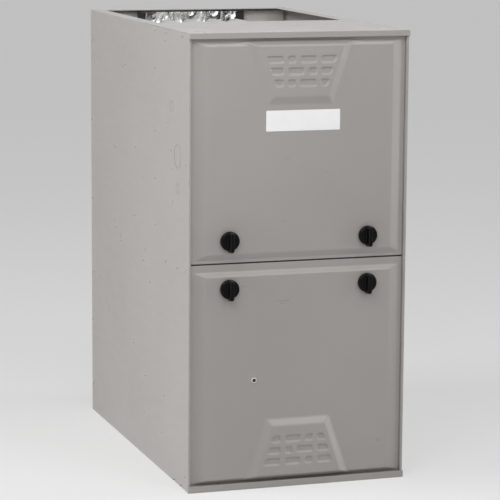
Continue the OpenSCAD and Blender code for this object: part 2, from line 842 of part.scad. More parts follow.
// Latch shaft with a cam that reaches inwards at rest and behind the divider when turned
module latch(x, z) {
    toward = x > 0 ? -1 : 1;
    color(steel) {
        rod_y(x, [lip_y - 6.5, cam_y + cam_t], z, latch_r - run_gap / 2);
        run_y([cam_y, cam_y + cam_t]) translate([x, z]) {
            circle(r = 9);
            translate([toward > 0 ? 0 : 6 - latch_reach, -6]) square([latch_reach - 6, 12]);
            translate([toward * (latch_reach - 6), 0]) circle(r = 6);
        }
    }
}

module upper_left_knob() { knob(-knob_x, upper_knob_z); }
module upper_right_knob() { knob(knob_x, upper_knob_z); }
module lower_left_knob() { knob(-knob_x, lower_knob_z); }
module lower_right_knob() { knob(knob_x, lower_knob_z); }
module upper_left_latch() { latch(-knob_x, upper_knob_z); }
module upper_right_latch() { latch(knob_x, upper_knob_z); }
module lower_left_latch() { latch(-knob_x, lower_knob_z); }
module lower_right_latch() { latch(knob_x, lower_knob_z); }

// ---------- heat exchanger ----------

// One bent tube: back, forwards and back again
module serpentine(r) {
    z2 = tube_z - 2 * bend_r;
    rod_y(0, [panel_y - 1, bend_back], tube_z, r);
    rod_y(0, [bend_front, bend_back], z2, r);
    rod_y(0, [bend_front, coupling_y + sheet], coupling_z, r);
    translate([0, bend_back, tube_z - bend_r]) rotate([90, 0, 90]) rotate([0, 0, -90]) {
        rotate_extrude(angle = 180) translate([bend_r, 0]) circle(r = r);
    }
    translate([0, bend_front, z2 - bend_r]) rotate([90, 0, 90]) rotate([0, 0, 90]) {
        rotate_extrude(angle = 180) translate([bend_r, 0]) circle(r = r);
    }
}

module heat_tubes() {
    color(steel) for (i = [-1.5:1:1.5]) translate([i * tube_pitch, 0, 0]) {
        difference() {
            serpentine(tube_r);
            serpentine(tube_r - tube_wall);
            rod_y(0, [panel_y - 2, panel_y], tube_z, tube_r - tube_wall);
            rod_y(0, [coupling_y, coupling_y + 2], coupling_z, tube_r - tube_wall);
        }
    }
}

// Rear header that turns the flue gas from the tubes down into the coil
module coupling_box() {
    z = [coil_z, coupling_z + tube_r + 10];
    x = max(coupling_x, coil_x);
    color(steel) difference() {
        block([-x, x], [coupling_y, coupling_y + coupling_depth], z);
        block([sheet - x, x - sheet], [coupling_y + sheet, coupling_y + coupling_depth - sheet],
            [z[0] + sheet, z[1] - sheet]);
        for (i = [-1.5:1:1.5]) {
            rod_y(i * tube_pitch, [coupling_y - past, coupling_y + 2], coupling_z,
                tube_r + seat_gap / 2);
        }
        block([15 - coil_x, coil_x - 15], [coupling_y - past, coupling_y + 2],
            [coil_z + 15, coil_z + coil_h - 15]);
    }
}

// Finned coil between two header plates
module condensing_coil() {
    columns = 6;
    rows = 3;
    step_x = (coil_w - 60) / (columns - 1);
    step_z = (coil_h - 60) / (rows - 1);
    fin_step = (coil_back - coil_y - 20) / (fins + 1);
    color([0.75, 0.75, 0.76]) difference() {
        union() {
            for (y = [coil_y, coil_back - sheet]) {
                block([-coil_x, coil_x], [y, y + sheet], [coil_z, coil_z + coil_h]);
            }
            for (i = [1:fins]) {
                y = coil_y + 10 + i * fin_step;
                block([5 - coil_x, coil_x - 5], [y, y + 0.6], [coil_z + 5, coil_z + coil_h - 5]);
            }
            for (i = [0:columns - 1], k = [0:rows - 1]) {
                rod_y(30 - coil_x + i * step_x, [coil_y, coil_back], coil_z + 30 + k * step_z,
                    coil_tube_r);
            }
        }
        for (i = [0:columns - 1], k = [0:rows - 1]) {
            rod_y(30 - coil_x + i * step_x, [coil_y - past, coil_back + past],
                coil_z + 30 + k * step_z, coil_tube_r - 1);
        }
    }
}

// Moulded box on the front of the coil that gathers flue gas and condensate
module collector_box() {
    y = [collector_y, panel_y - seat_gap];
    color(black) difference() {
        union() {
            block([-coil_x, coil_x], y, [coil_z, coil_z + coil_h]);
            block([-coil_x - 8, coil_x + 8], [y[1] - 4, y[1]], [coil_z - 8, coil_z + coil_h + 8]);
            for (rib = [[-90, 10], [60, 86], [105, 86]]) {
                block([rib[0] - 1.5, rib[0] + 1.5], [y[0] - 5, y[0]], [coil_z, coil_z + rib[1]]);
            }
            rod_z(tap_x, tap_y, [coil_z + coil_h, coil_z + coil_h + 14], 4);
            rod_x([coil_x, coil_x + 12], tap_y, coil_z + drain_up, 7);
        }
        block([3 - coil_x, coil_x - 3], [y[0] + 3, y[1] + past], [coil_z + 3, coil_z + coil_h - 3]);
        rod_y(inducer_x, [y[0] - 6, y[0] + 4], inducer_z, 28);
        rod_z(tap_x, tap_y, [coil_z + coil_h - 4, coil_z + coil_h + 15], 2.4);
        rod_x([coil_x - 4, coil_x + 13], tap_y, coil_z + drain_up, 5);
    }
}

// ---------- draft inducer ----------

// Scroll with its outlet to the right, where the vent pipe leaves through the side panel
module inducer_housing() {
    y = [inducer_y, inducer_y + inducer_depth];
    inner = inducer_r - inducer_wall;
    duct_z = vent_z - inducer_z;
    duct_x = vent_x - inducer_x;
    color(black) translate([inducer_x, 0, inducer_z]) difference() {
        union() {
            run_y(y) mirror([1, -1]) scroll(inducer_r, inducer_step, inducer_top);
            for (a = [45, 135, 225]) rotate([0, a, 0]) {
                rod_y(inducer_r + inducer_step, [y[1] - 6, y[1]], 0, 14);
            }
            for (a = [30, 150, 270]) {
                rod_y(28 * cos(a), [inducer_motor_y + 56, y[0]], 28 * sin(a), 4);
            }
            rod_x([inducer_top - 1, duct_x], vent_y, duct_z, vent_r - 5);
            rod_x([duct_x - 6, duct_x + socket_d - 4], vent_y, duct_z, socket_r - seat_gap / 2);
            rod_x([duct_x - 4, duct_x - seat_gap], vent_y, duct_z, socket_r + 1.5);
        }
        run_y([y[0] + inducer_wall, y[1] - inducer_wall]) mirror([1, -1]) intersection() {
            scroll(inner, inducer_step, inducer_top);
            translate([-inner * 2, -inner * 2]) {
                square([inner * 4, inner * 2 + inducer_top - inducer_wall]);
            }
        }
        rod_y(0, [y[0] - past, y[0] + 4], 0, inducer_shaft_r + 2);
        rod_y(0, [y[1] - 4, y[1] + past], 0, 30);
        rod_x([inducer_top - 5, duct_x + socket_d], vent_y, duct_z, vent_r - 8);
    }
}

// Rubber coupling that slips over the inducer outlet and takes the vent pipe
module vent_collar() {
    color([0.12, 0.12, 0.12]) turn_x(vent_x, vent_y, vent_z) {
        polygon([[socket_r, 0], [vent_r + 3, 0], [vent_r + 3, 6], [vent_r + 4.5, 7],
            [vent_r + 4.5, 10], [vent_r + 3, 11], [vent_r + 3, 44], [vent_r + 4.5, 45],
            [vent_r + 4.5, 48], [vent_r + 3, 49], [vent_r + 3, 56], [vent_r, 56],
            [vent_r, socket_d], [socket_r, socket_d]]);
    }
}

module inducer_motor() {
    y = inducer_motor_y;
    r = inducer_motor_r;
    color([0.2, 0.2, 0.22]) difference() {
        union() {
            turn_y(inducer_x, y, inducer_z) {
                polygon([[0, 0], [r - 12, 0], [r - 4, 4], [r - 2, 12], [r - 2, 18], [r, 18], [r, 40],
                    [r - 2, 40], [r - 2, 50], [r - 10, 56 - seat_gap], [0, 56 - seat_gap]]);
            }
        }
        rod_y(inducer_x, [y + 44, y + 57], inducer_z, inducer_shaft_r + run_gap);
        for (a = [0:30:330]) translate([inducer_x, y - past, inducer_z]) rotate([0, a, 0]) {
            translate([r - 20, 0, -2]) cube([9, 5, 4]);
        }
    }
}

module inducer_shaft() {
    color(steel) rod_y(inducer_x, [inducer_motor_y + 45, inducer_y + inducer_depth - 12],
        inducer_z, inducer_shaft_r);
}

// Radial impeller with a back disc and a hub
module inducer_wheel() {
    y = inducer_y + 8;
    w = inducer_depth - 20;
    vanes = 12;
    color(zinc) difference() {
        translate([inducer_x, 0, inducer_z]) {
            rod_y(0, [y, y + 1.5], 0, impeller_r);
            rod_y(0, [y, y + 14], 0, 9);
            for (i = [0:vanes - 1]) rotate([0, i * 360 / vanes, 0]) {
                block([16, impeller_r], [y, y + w], [-0.6, 0.6]);
            }
        }
        rod_y(inducer_x, [y - past, y + w + past], inducer_z, inducer_shaft_r + run_gap / 2);
    }
}

// ---------- burners and gas ----------

module burner_box() {
    x = burner_box_x;
    y = [burner_box_y, panel_y - seat_gap];
    z = [burner_box_z, burner_box_z + burner_box_h];
    color(zinc) difference() {
        tray([-x, x], y, z, sheet, true);
        for (i = [-1.5:1:1.5]) {
            rod_y(i * tube_pitch, [y[1] - 3, y[1] + past], tube_z, tube_r + seat_gap);
        }
        rod_z(x - 20, y[0] + 40, [z[1] - 2, z[1] + past], 3.2);
        rod_x([-x - past, 2 - x], y[1] - 30, tube_z, 4.2);
        rod_x([x - 2, x + past], y[1] - 18, igniter_z, 3.2);
    }
}

// Four inshot burners joined by a crossover strip that rests in the box
module burner_rack() {
    y = burner_box_y - 14;
    color(steel) difference() {
        union() {
            for (i = [-1.5:1:1.5]) turn_y(i * tube_pitch, y, tube_z) {
                polygon([[12, 0], [14, 0], [11, 14], [11, 44], [17, 62], [17, 80], [13, 80], [13, 62],
                    [9, 44], [9, 14]]);
            }
            block([-burner_box_x + sheet + seat_gap, burner_box_x - sheet - seat_gap], [y + 72, y + 76],
                [tube_z - 5, tube_z + 5]);
            for (s = [-1, 1]) {
                block([s * tube_pitch * 0.5 - 3, s * tube_pitch * 0.5 + 3], [y + 64, y + 76],
                    [burner_box_z + sheet + seat_gap, tube_z - 12]);
            }
        }
        for (i = [-1.5:1:1.5]) rod_y(i * tube_pitch, [y + 63, y + 81], tube_z, 12.9);
    }
}

// Silicon nitride igniter through the right wall of the box
module igniter() {
    x = burner_box_x;
    y = panel_y - seat_gap - 18;
    color("white") {
        rod_x([x + seat_gap / 2, x + 18], y, igniter_z, 6);
        rod_x([x - 19, x + 1], y, igniter_z, 3);
    }
}

// Flame rod through the left wall of the box
module flame_sensor() {
    x = -burner_box_x;
    y = panel_y - seat_gap - 30;
    color("white") {
        rod_x([x - 20, x - seat_gap / 2], y, tube_z, 7);
        rod_x([x - 1, x + 12], y, tube_z, 4);
    }
}

module gas_manifold() {
    color([0.3, 0.3, 0.32]) difference() {
        union() {
            rod_x([-burner_box_x - 4, riser_x + manifold_r], manifold_y, tube_z, manifold_r);
            rod_x([-burner_box_x - 12, -burner_box_x - 4], manifold_y, tube_z, manifold_r + 2);
            for (s = [-1, 1]) {
                x = s * (burner_box_x + seat_gap + 1);
                block([x - 1, x + 1], [manifold_y, burner_box_y + 14], [tube_z - 8, tube_z + 8]);
            }
            rod_x([riser_x - 22, riser_x - 6], manifold_y, tube_z, manifold_r + 4);
            rod_z(riser_x, manifold_y, [valve_z[1] + 8 + seat_gap, tube_z], manifold_r);
            rod_z(riser_x, manifold_y, [tube_z - 26, tube_z + 2], manifold_r + 4);
            for (i = [-1.5:1:1.5]) {
                rod_y(i * tube_pitch, [manifold_y, manifold_y + manifold_r + 4], tube_z, 8);
            }
        }
        for (i = [-1.5:1:1.5]) {
            rod_y(i * tube_pitch, [manifold_y, manifold_y + manifold_r + 5], tube_z, 4.5);
        }
    }
}

// Brass spuds screwed into the manifold, each aimed into a burner
module gas_orifices() {
    y = manifold_y + manifold_r + 4;
    color([0.75, 0.6, 0.3]) for (i = [-1.5:1:1.5]) difference() {
        union() {
            rod_y(i * tube_pitch, [y - 8, y + seat_gap / 2], tube_z, 4.4);
            translate([i * tube_pitch, y + seat_gap / 2, tube_z]) rotate([-90, 0, 0]) {
                cylinder(r = 7, h = 6, $fn = 6);
            }
            rod_y(i * tube_pitch, [y + 6, y + 14], tube_z, 5);
        }
        rod_y(i * tube_pitch, [y - 9, y + 15], tube_z, 1.2);
    }
}

module gas_valve() {
    x = valve_x;
    y = valve_y;
    z = valve_z;
    color([0.6, 0.6, 0.62]) difference() {
        union() {
            block(x, y, z);
            rod_z(riser_x, manifold_y, [z[1], z[1] + 8], manifold_r + 5);
            rod_x([x[1], fit_x - 8], gas_y, gas_z, 16);
            rod_z(x[0] + 16, gas_y, [z[1], z[1] + 22], 13);
            rod_y(x[1] - 20, [y[0] - 6, y[0]], z[0] + 42, 11);
        }
        rod_z(riser_x, manifold_y, [z[1] - 20, z[1] + 9], manifold_r + seat_gap);
        rod_x([x[1] - 4, fit_x], gas_y, gas_z, 10.3);
        rod_y(x[0] + 20, [y[0] - past, y[0] + 8], z[0] + 22, 5 + run_gap);
    }
}

// Turning on and off lever of the gas valve
module gas_valve_knob() {
    x = valve_x[0] + 20;
    z = valve_z[0] + 22;
    y = valve_y[0];
    color("red") {
        rod_y(x, [y - 9, y - seat_gap], z, 13);
        rod_y(x, [y - 1, y + 7], z, 5);
        block([x - 3, x + 3], [y - 15, y - 8], [z - 12, z + 12]);
    }
}

// Rubber bush in the open gas hole of the right side panel
module gas_grommet() {
    hole = gas_hole_r;
    color(black) turn_x(wall_x, gas_y, gas_z) {
        polygon([[hole - 5, -4], [hole + 4, -4], [hole + 4, -seat_gap / 2],
            [hole - seat_gap / 2, -seat_gap / 2], [hole - seat_gap / 2, sheet], [hole - 5, sheet]]);
    }
}

// ---------- safety switches, drain and wiring boxes ----------

module rollout_switch() {
    x = burner_box_x - 44;
    y = burner_box_y;
    z = burner_box_z;
    color(black) difference() {
        union() {
            block([x - 14, x + 14], [y - 1.2 - seat_gap, y - seat_gap], [z - 4, z + 16]);
            rod_y(x, [y - 14, y - seat_gap], z + 6, 9);
        }
        rod_y(x, [y - 15, y - 6], z + 6, 3 + run_gap);
    }
}

module rollout_button() {
    x = burner_box_x - 44;
    y = burner_box_y;
    color("red") {
        rod_y(x, [y - 18, y - 9], burner_box_z + 6, 3);
        rod_y(x, [y - 19, y - 17], burner_box_z + 6, 2.5);
    }
}

// Disc thermostat on the vestibule panel, with its bracket
module limit_switch() {
    z = gas_z + 82;
    color(black) {
        block([-26, 26], [panel_y - seat_gap - 1, panel_y - seat_gap], [z - 9, z + 9]);
        rod_y(0, [panel_y - 12, panel_y - 1], z, 9);
        for (s = [-1, 1]) block([s * 4 - 0.4, s * 4 + 0.4], [panel_y - 20, panel_y - 11], [z - 3, z + 3]);
    }
}

// Round pressure switch with a hose spigot below
module pressure_switch() {
    x = tap_x;
    y = panel_y - seat_gap;
    z = pressure_z;
    color([0.85, 0.82, 0.7]) {
        turn_y(x, y - 30, z) {
            polygon([[0, 0], [16, 0], [18, 6], [switch_r - 4, 8], [switch_r, 11], [switch_r, 19],
                [switch_r - 4, 22], [0, 22]]);
        }
        rod_z(x, tap_y, [z - switch_r - 12, z - switch_r + 3], 4);
        block([x - 20, x + 20], [y - 8.5, y], [z - 16, z + 16]);
    }
}

// Hose from the collector tap up to the pressure switch
module pressure_hose() {
    z = [coil_z + coil_h + seat_gap, pressure_z - switch_r - 4];
    color(black) difference() {
        rod_z(tap_x, tap_y, z, 6.5);
        rod_z(tap_x, tap_y, [z[0] - past, z[1] + past], 4 + seat_gap / 2);
    }
}

// Trap beside the collector box
module condensate_trap() {
    x0 = coil_x + 4;
    y = tap_y;
    z = coil_z;
    color([0.8, 0.8, 0.78]) difference() {
        union() {
            block([x0, x0 + 42], [y - 20, y + 16], [z - 20, z + 60]);
            rod_z(x0 + 12, y, [z + 60, z + 72], 6);
            rod_x([x0 + 42, x0 + 58], y, z - 8, 8);
            block([x0 + 42, fit_x], [y - 8, y + 8], [z + 36, z + 39]);
        }
        rod_x([x0 - past, x0 + 14], y, z + drain_up, 7 + seat_gap / 2);
        block([x0 + 14, x0 + 39], [y - 17, y + 13], [z - 17, z + 57]);
        rod_z(x0 + 12, y, [z + 50, z + 73], 4);
        rod_x([x0 + 38, x0 + 59], y, z - 8, 5.5);
    }
}

// Wiring box behind the conduit knock-out of the left side panel
module junction_box() {
    y = gas_y + conduit_back;
    z = gas_z + conduit_up;
    color(zinc) difference() {
        block([-fit_x, 48 - fit_x], [y - 32, y + 32], [z - 40, z + 40]);
        block([sheet - fit_x, 48 - fit_x + past], [y - 32 + sheet, y + 32 - sheet],
            [z - 40 + sheet, z + 40 - sheet]);
        rod_x([-half_w, 4 - fit_x], y, z, conduit_r);
        rod_z(sheet + 22 - fit_x, y, [z - 41, z - 38], 8);
    }
}

// ---------- controls in the blower compartment ----------

control_y = lip_y + 96;
control_x = [-184, -4];
control_z = [deck_low - seat_gap - control_h, deck_low - seat_gap];
board_z = [control_z[0] + board_up, control_z[0] + board_up + board_h];

// Folded bracket that hangs from the deck and carries the board and the transformer
module control_panel() {
    x = control_x;
    color(zinc) difference() {
        union() {
            block(x, [control_y, control_y + sheet], control_z);
            block(x, [control_y, control_y + 30], [control_z[1] - sheet, control_z[1]]);
            for (e = [x[0], x[1] - sheet]) block([e, e + sheet], [control_y, control_y + 14], control_z);
        }
        for (px = [x[0] + 20, x[1] - 20]) {
            rod_y(px, [control_y - past, control_y + 3], board_z[1] + 24, 8);
        }
    }
}

// Control board on its posts, with relays, plugs, fuse and signal light
module control_board() {
    x = [control_x[0] + 14, control_x[1] - 14];
    y = control_y - 10;
    color([0.1, 0.35, 0.2]) {
        block(x, [y, y + 1.6], board_z);
        for (px = [x[0] + 5, x[1] - 5], pz = [board_z[0] + 5, board_z[1] - 5]) {
            rod_y(px, [y - 1.5, control_y], pz, 2.5);
        }
    }
    color(black) {
        for (i = [0:3]) {
            block([x[0] + 14 + i * 24, x[0] + 32 + i * 24], [y - 15, y], [board_z[1] - 28, board_z[1] - 12]);
        }
        for (i = [0:5]) rod_y(x[0] + 24 + i * 12, [y - 13, y], board_z[0] + 66, 4);
        block([x[0] + 96, x[0] + 118], [y - 4, y], [board_z[0] + 54, board_z[0] + 74]);
        rod_y(sight_x, [y - 8, y], sight_z, 2.5);
    }
    color("white") {
        block([x[0] + 12, x[0] + 60], [y - 12, y], [board_z[0] + 8, board_z[0] + 20]);
        block([x[0] + 70, x[0] + 94], [y - 12, y], [board_z[0] + 8, board_z[0] + 20]);
        block([x[0] + 104, x[0] + 132], [y - 9, y], [board_z[0] + 26, board_z[0] + 36]);
    }
}

// Class two transformer: laminated core, coil and feet
module transformer() {
    x = control_x[0] + transformer_in;
    y = control_y - seat_gap;
    z = board_z[1] + transformer_up;
    color([0.25, 0.25, 0.28]) {
        block([x - 26, x + 26], [y - 26, y - 8], [z - 30, z + 30]);
        block([x - 36, x + 36], [y - 1.2, y], [z - 34, z + 34]);
        for (s = [-1, 1]) block([x - 24, x + 24], [y - 9, y], [z + s * 27 - 3, z + s * 27 + 3]);
    }
    color([0.8, 0.7, 0.4]) rod_z(x, y - 17, [z - 22, z + 22], 16.5);
}

door_switch_x = 70;
door_switch_z = deck_z - 44;
plunger_y = liner_y + door_liner_t + 0.3;

// Interlock switch on a bracket under the deck
module door_switch() {
    x = door_switch_x;
    z = door_switch_z;
    y = lip_y + 42;
    color(black) difference() {
        union() {
            block([x - 12, x + 12], [y, y + 28], [z - 16, z + 16]);
            block([x - 18, x + 18], [y - 1.5, y], [z - 20, z + 20]);
            block([x - 12, x + 12], [y + 28, y + 30], [z - 16, deck_low - seat_gap]);
        }
        rod_y(x, [y - 2, y + 20], z, 5 + run_gap);
    }
}

module door_switch_plunger() {
    color("white") {
        rod_y(door_switch_x, [plunger_y, lip_y + 56], door_switch_z, 5);
        rod_y(door_switch_x, [lip_y + 38, lip_y + 39], door_switch_z, 6);
    }
}

// Motor run capacitor in a strap on the left wall of the blower housing
module run_capacitor() {
    r = 22;
    x = -scroll_x - sheet - seat_gap - r - 2;
    y = blower_y + 120;
    z = blower_z + 130;
    color([0.7, 0.7, 0.72]) {
        rod_z(x, y, [z, z + 80], r);
        rod_z(x, y, [z + 79, z + 83], r - 3);
        rod_z(x, y, [z + 30, z + 50], r + 1.2);
        block([x, x + r + 2], [y - 34, y + 34], [z + 30, z + 50]);
    }
    color(steel) for (s = [-1, 1]) {
        block([x + s * 8 - 3, x + s * 8 + 3], [y - 0.4, y + 0.4], [z + 82, z + 92]);
    }
}

// ---------- blower ----------

// The inlet ring curls from the side wall towards the wheel eye
module inlet_ring() {
    turn_x(-scroll_x - sheet, blower_y, blower_z) intersection() {
        difference() {
            translate([eye_r + ring_lip, ring_lip]) circle(r = ring_lip);
            translate([eye_r + ring_lip, ring_lip]) circle(r = ring_lip - sheet);
        }
        translate([eye_r, 0]) square(ring_lip);
    }
}

module blower_housing() {
    x = scroll_x;
    top = deck_low - seat_gap - blower_z;
    r = scroll_r + sheet;
    hole = eye_r + ring_lip - sheet;
    duct_y = [-scroll_step / 2, scroll_r + 2 * scroll_step + scroll_step / 2];
    color(zinc) difference() {
        union() {
            translate([0, blower_y, blower_z]) difference() {
                run_x([-x - sheet, x + sheet]) scroll(r, scroll_step, top);
                run_x([-x, x]) scroll(scroll_r, scroll_step, top + past);
                run_x([-x, x]) translate([duct_y[0] + sheet, 0]) {
                    square([duct_y[1] - duct_y[0] - 2 * sheet, top + past]);
                }
                rod_x([-x - sheet - past, x + sheet + past], 0, 0, hole);
            }
            for (side = [0, 1]) mirror([side, 0, 0]) inlet_ring();
            for (s = [-1, 1]) {
                fx = s * (x + sheet + 9);
                translate([0, blower_y, blower_z]) {
                    block([fx - 10, fx + 10], duct_y, [top - sheet, top]);
                }
            }
        }
    }
}

// One forward curved blade as an arc strip
module blade_section() {
    r = blade_d * 0.9;
    intersection() {
        difference() {
            translate([wheel_r - blade_d, r]) circle(r = r);
            translate([wheel_r - blade_d, r]) circle(r = r - 1);
        }
        translate([wheel_r - blade_d, 0]) square([r, r]);
    }
}

// Double inlet wheel: blades between two rims, on a centre disc with a hub
module blower_wheel() {
    rim = 4;
    color(zinc) translate([0, blower_y, blower_z]) rotate([90, 0, 90]) difference() {
        union() {
            translate([0, 0, -wheel_w / 2]) linear_extrude(wheel_w) {
                for (i = [0:blades - 1]) rotate([0, 0, i * 360 / blades]) blade_section();
            }
            for (z = [-wheel_w / 2, wheel_w / 2 - rim]) translate([0, 0, z]) linear_extrude(rim) {
                difference() {
                    circle(r = wheel_r, $fn = 96);
                    circle(r = wheel_r - 10, $fn = 96);
                }
            }
            translate([0, 0, -1]) cylinder(r = wheel_r - blade_d / 2, h = 2, $fn = 96);
            translate([0, 0, -14]) cylinder(r = 20, h = 24);
        }
        translate([0, 0, -15]) cylinder(r = shaft_r + run_gap / 2, h = 30);
    }
}

module blower_shaft() {
    color(steel) rod_x([-28, motor_x + 9], blower_y, blower_z, shaft_r);
}

module blower_motor() {
    r = motor_r;
    l = motor_l;
    color([0.16, 0.16, 0.18]) difference() {
        turn_x(motor_x, blower_y, blower_z) {
            polygon([[0, 0], [r * 0.55, 0], [r - 8, 6], [r - 2, 14], [r - 2, 26], [r, 26], [r, l - 26],
                [r - 2, l - 26], [r - 2, l - 14], [r - 8, l - 6], [r * 0.55, l], [0, l]]);
        }
        rod_x([motor_x - past, motor_x + 10], blower_y, blower_z, shaft_r + run_gap);
        for (a = [0:30:330]) translate([motor_x, blower_y, blower_z]) rotate([a, 0, 0]) {
            block([l - 3, l + past], [-3, 3], [r * 0.62, r * 0.8]);
        }
    }
}

// Belly band and three arms that carry the motor in the right inlet
module motor_mount() {
    x = scroll_x + sheet + seat_gap;
    color(zinc) difference() {
        translate([0, blower_y, blower_z]) {
            rod_x([x - 8, x + 12], 0, 0, motor_r + 1.5 + seat_gap / 2);
            for (a = [90, 210, 330]) rotate([a, 0, 0]) {
                block([x, x + 3], [-7, 7], [motor_r - 1, eye_r + 28]);
            }
        }
        rod_x([x - 9, x + 13], blower_y, blower_z, motor_r + seat_gap / 2);
    }
}

left_side_panel();
right_side_panel();
back_panel();
top_plate();
base_rail();
divider_rail();
blower_deck();
vestibule_panel();
casing_insulation();
casing_screws();
heat_tubes();
coupling_box();
condensing_coil();
collector_box();
inducer_housing();
inducer_motor();
inducer_wheel();
inducer_shaft();
vent_collar();
burner_box();
burner_rack();
igniter();
flame_sensor();
gas_manifold();
gas_orifices();
gas_valve();
gas_valve_knob();
gas_grommet();
rollout_switch();
rollout_button();
limit_switch();
pressure_switch();
pressure_hose();
condensate_trap();
junction_box();
control_panel();
control_board();
transformer();
door_switch();
door_switch_plunger();
run_capacitor();
blower_housing();
blower_wheel();
blower_shaft();
blower_motor();
motor_mount();
upper_door_panel();
upper_door_insulation();
badge_plate();
lower_door_panel();
lower_door_insulation();
sight_glass();
upper_left_knob();
upper_right_knob();
lower_left_knob();
lower_right_knob();
upper_left_latch();
upper_right_latch();
lower_left_latch();
lower_right_latch();
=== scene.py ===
"""Dressed scene of an upright forced air gas furnace. Metres, +Z up, the doors face -Y."""
import math

import bmesh
import bpy
import numpy as np
from mathutils import Matrix, Vector, noise


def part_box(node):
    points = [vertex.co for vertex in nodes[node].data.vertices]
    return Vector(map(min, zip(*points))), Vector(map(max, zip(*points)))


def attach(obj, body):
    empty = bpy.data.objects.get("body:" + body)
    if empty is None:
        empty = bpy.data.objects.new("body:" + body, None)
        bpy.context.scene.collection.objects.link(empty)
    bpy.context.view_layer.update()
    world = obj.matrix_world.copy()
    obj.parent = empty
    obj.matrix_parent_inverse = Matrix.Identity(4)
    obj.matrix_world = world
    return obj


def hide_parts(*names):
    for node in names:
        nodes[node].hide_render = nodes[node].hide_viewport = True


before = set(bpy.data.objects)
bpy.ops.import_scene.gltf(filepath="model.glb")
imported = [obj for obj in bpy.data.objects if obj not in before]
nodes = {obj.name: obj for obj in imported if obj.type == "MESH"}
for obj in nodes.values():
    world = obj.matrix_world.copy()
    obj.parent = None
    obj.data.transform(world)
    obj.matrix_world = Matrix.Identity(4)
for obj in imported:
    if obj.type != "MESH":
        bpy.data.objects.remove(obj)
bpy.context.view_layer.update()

MM = 0.001

# ---------- camera, fitted to the cabinet's corners in the photograph ----------

CAMERA_TURN = -0.3170       # radians about Z, negative to the left of the doors
CAMERA_RISE = 0.1625        # radians above the horizon
CAMERA_ROLL = 0.0065        # radians
CAMERA_FOCAL = 2335.0       # focal length in pixels of a picture that is PICTURE wide
CAMERA_OFFSET = (-21.847 * MM, 35.579 * MM)
CAMERA_DISTANCE = 4870.2 * MM
CAMERA_TARGET = Vector((0, 11 * MM, 444.5 * MM))
CAMERA_REACH = 200
PICTURE = 500
SENSOR = 36.0


def make_camera():
    """Places the camera from its turn, rise, roll, distance and offset in the picture's plane."""
    rise, turn = CAMERA_RISE, CAMERA_TURN
    back = Vector((math.sin(turn) * math.cos(rise), -math.cos(turn) * math.cos(rise), math.sin(rise)))
    level = Vector((math.cos(turn), math.sin(turn), 0))
    upright = back.cross(level)
    c, s = math.cos(CAMERA_ROLL), math.sin(CAMERA_ROLL)
    right = c * level + s * upright
    up = c * upright - s * level
    data = bpy.data.cameras.new("camera")
    data.sensor_fit = "HORIZONTAL"
    data.sensor_width = SENSOR
    data.lens = CAMERA_FOCAL / PICTURE * SENSOR
    data.clip_end = CAMERA_REACH
    camera = bpy.data.objects.new("camera", data)
    place = CAMERA_TARGET + back * CAMERA_DISTANCE - CAMERA_OFFSET[0] * right - CAMERA_OFFSET[1] * up
    camera.matrix_world = Matrix((
        (right.x, up.x, back.x, place.x),
        (right.y, up.y, back.y, place.y),
        (right.z, up.z, back.z, place.z),
        (0, 0, 0, 1)))
    bpy.context.scene.collection.objects.link(camera)
    bpy.context.scene.camera = camera


# ---------- shader nodes ----------

def join(tree, source, socket):
    """Links an output to a socket, or sets the socket to a number or a colour."""
    if isinstance(source, (int, float)):
        socket.default_value = source
    elif isinstance(source, tuple):
        socket.default_value = (*source, 1)
    else:
        tree.links.new(source, socket)


def maths(tree, operation, a, b):
    node = tree.nodes.new("ShaderNodeMath")
    node.operation = operation
    join(tree, a, node.inputs[0])
    join(tree, b, node.inputs[1])
    return node.outputs[0]


# ---------- light and surroundings ----------

# Turn about Z and rise in degrees, distance in metres, size, power
LAMPS = {
    "left_high": (-90, 42, 3.6, (1.0, 1.0), 46.8),
    "left_low": (-100, 12, 3.6, (1.0, 1.0), 11.8),
    "left_near": (-75, -5, 1.8, (0.7, 0.7), 6.0),
    "corner_near": (-35, 35, 1.8, (0.8, 0.8), 8.6),
    "front_near": (-10, 45, 1.7, (0.7, 0.7), 3.0),
    "front": (21, 30, 3.6, (1.0, 1.0), 12.8),
    "front_high": (30, 48, 3.6, (1.4, 1.4), 17.6),
    "right_low": (60, -2, 3.0, (0.8, 1.3), 15.0),
    "spark": (80, 40, 3.4, (0.3, 0.3), 16.6),
}
LAMP_AIM = Vector((0, 0, 0.5))
FILL = (0.97, 0.985, 1.0)
FILL_STRENGTH = 0.06        # light that falls on the furnace from all round
PALE_STRENGTH = 0.88        # brightness of the empty surroundings as they are seen
FLOOR_REACH = 60.0
FLOOR_PAINT = (0.80, 0.80, 0.80)
FLOOR_ROUGHNESS, FLOOR_SPECULAR = 0.85, 0.2
FLOOR_PALE_SHARE = 0.55     # the rest of the floor is lit paint, which keeps the shadows


def area_lamp(name, turn, rise, distance, size, power):
    """A lamp that shines at LAMP_AIM from a direction and distance."""
    data = bpy.data.lights.new(name, "AREA")
    data.shape = "RECTANGLE"
    data.size, data.size_y = size
    data.energy = power
    lamp = bpy.data.objects.new(name, data)
    turn, rise = math.radians(turn), math.radians(rise)
    away = Vector((math.sin(turn) * math.cos(rise), -math.cos(turn) * math.cos(rise), math.sin(rise)))
    lamp.location = LAMP_AIM + away * distance
    lamp.rotation_euler = away.to_track_quat("Z", "Y").to_euler()
    lamp.visible_camera = False
    bpy.context.scene.collection.objects.link(lamp)


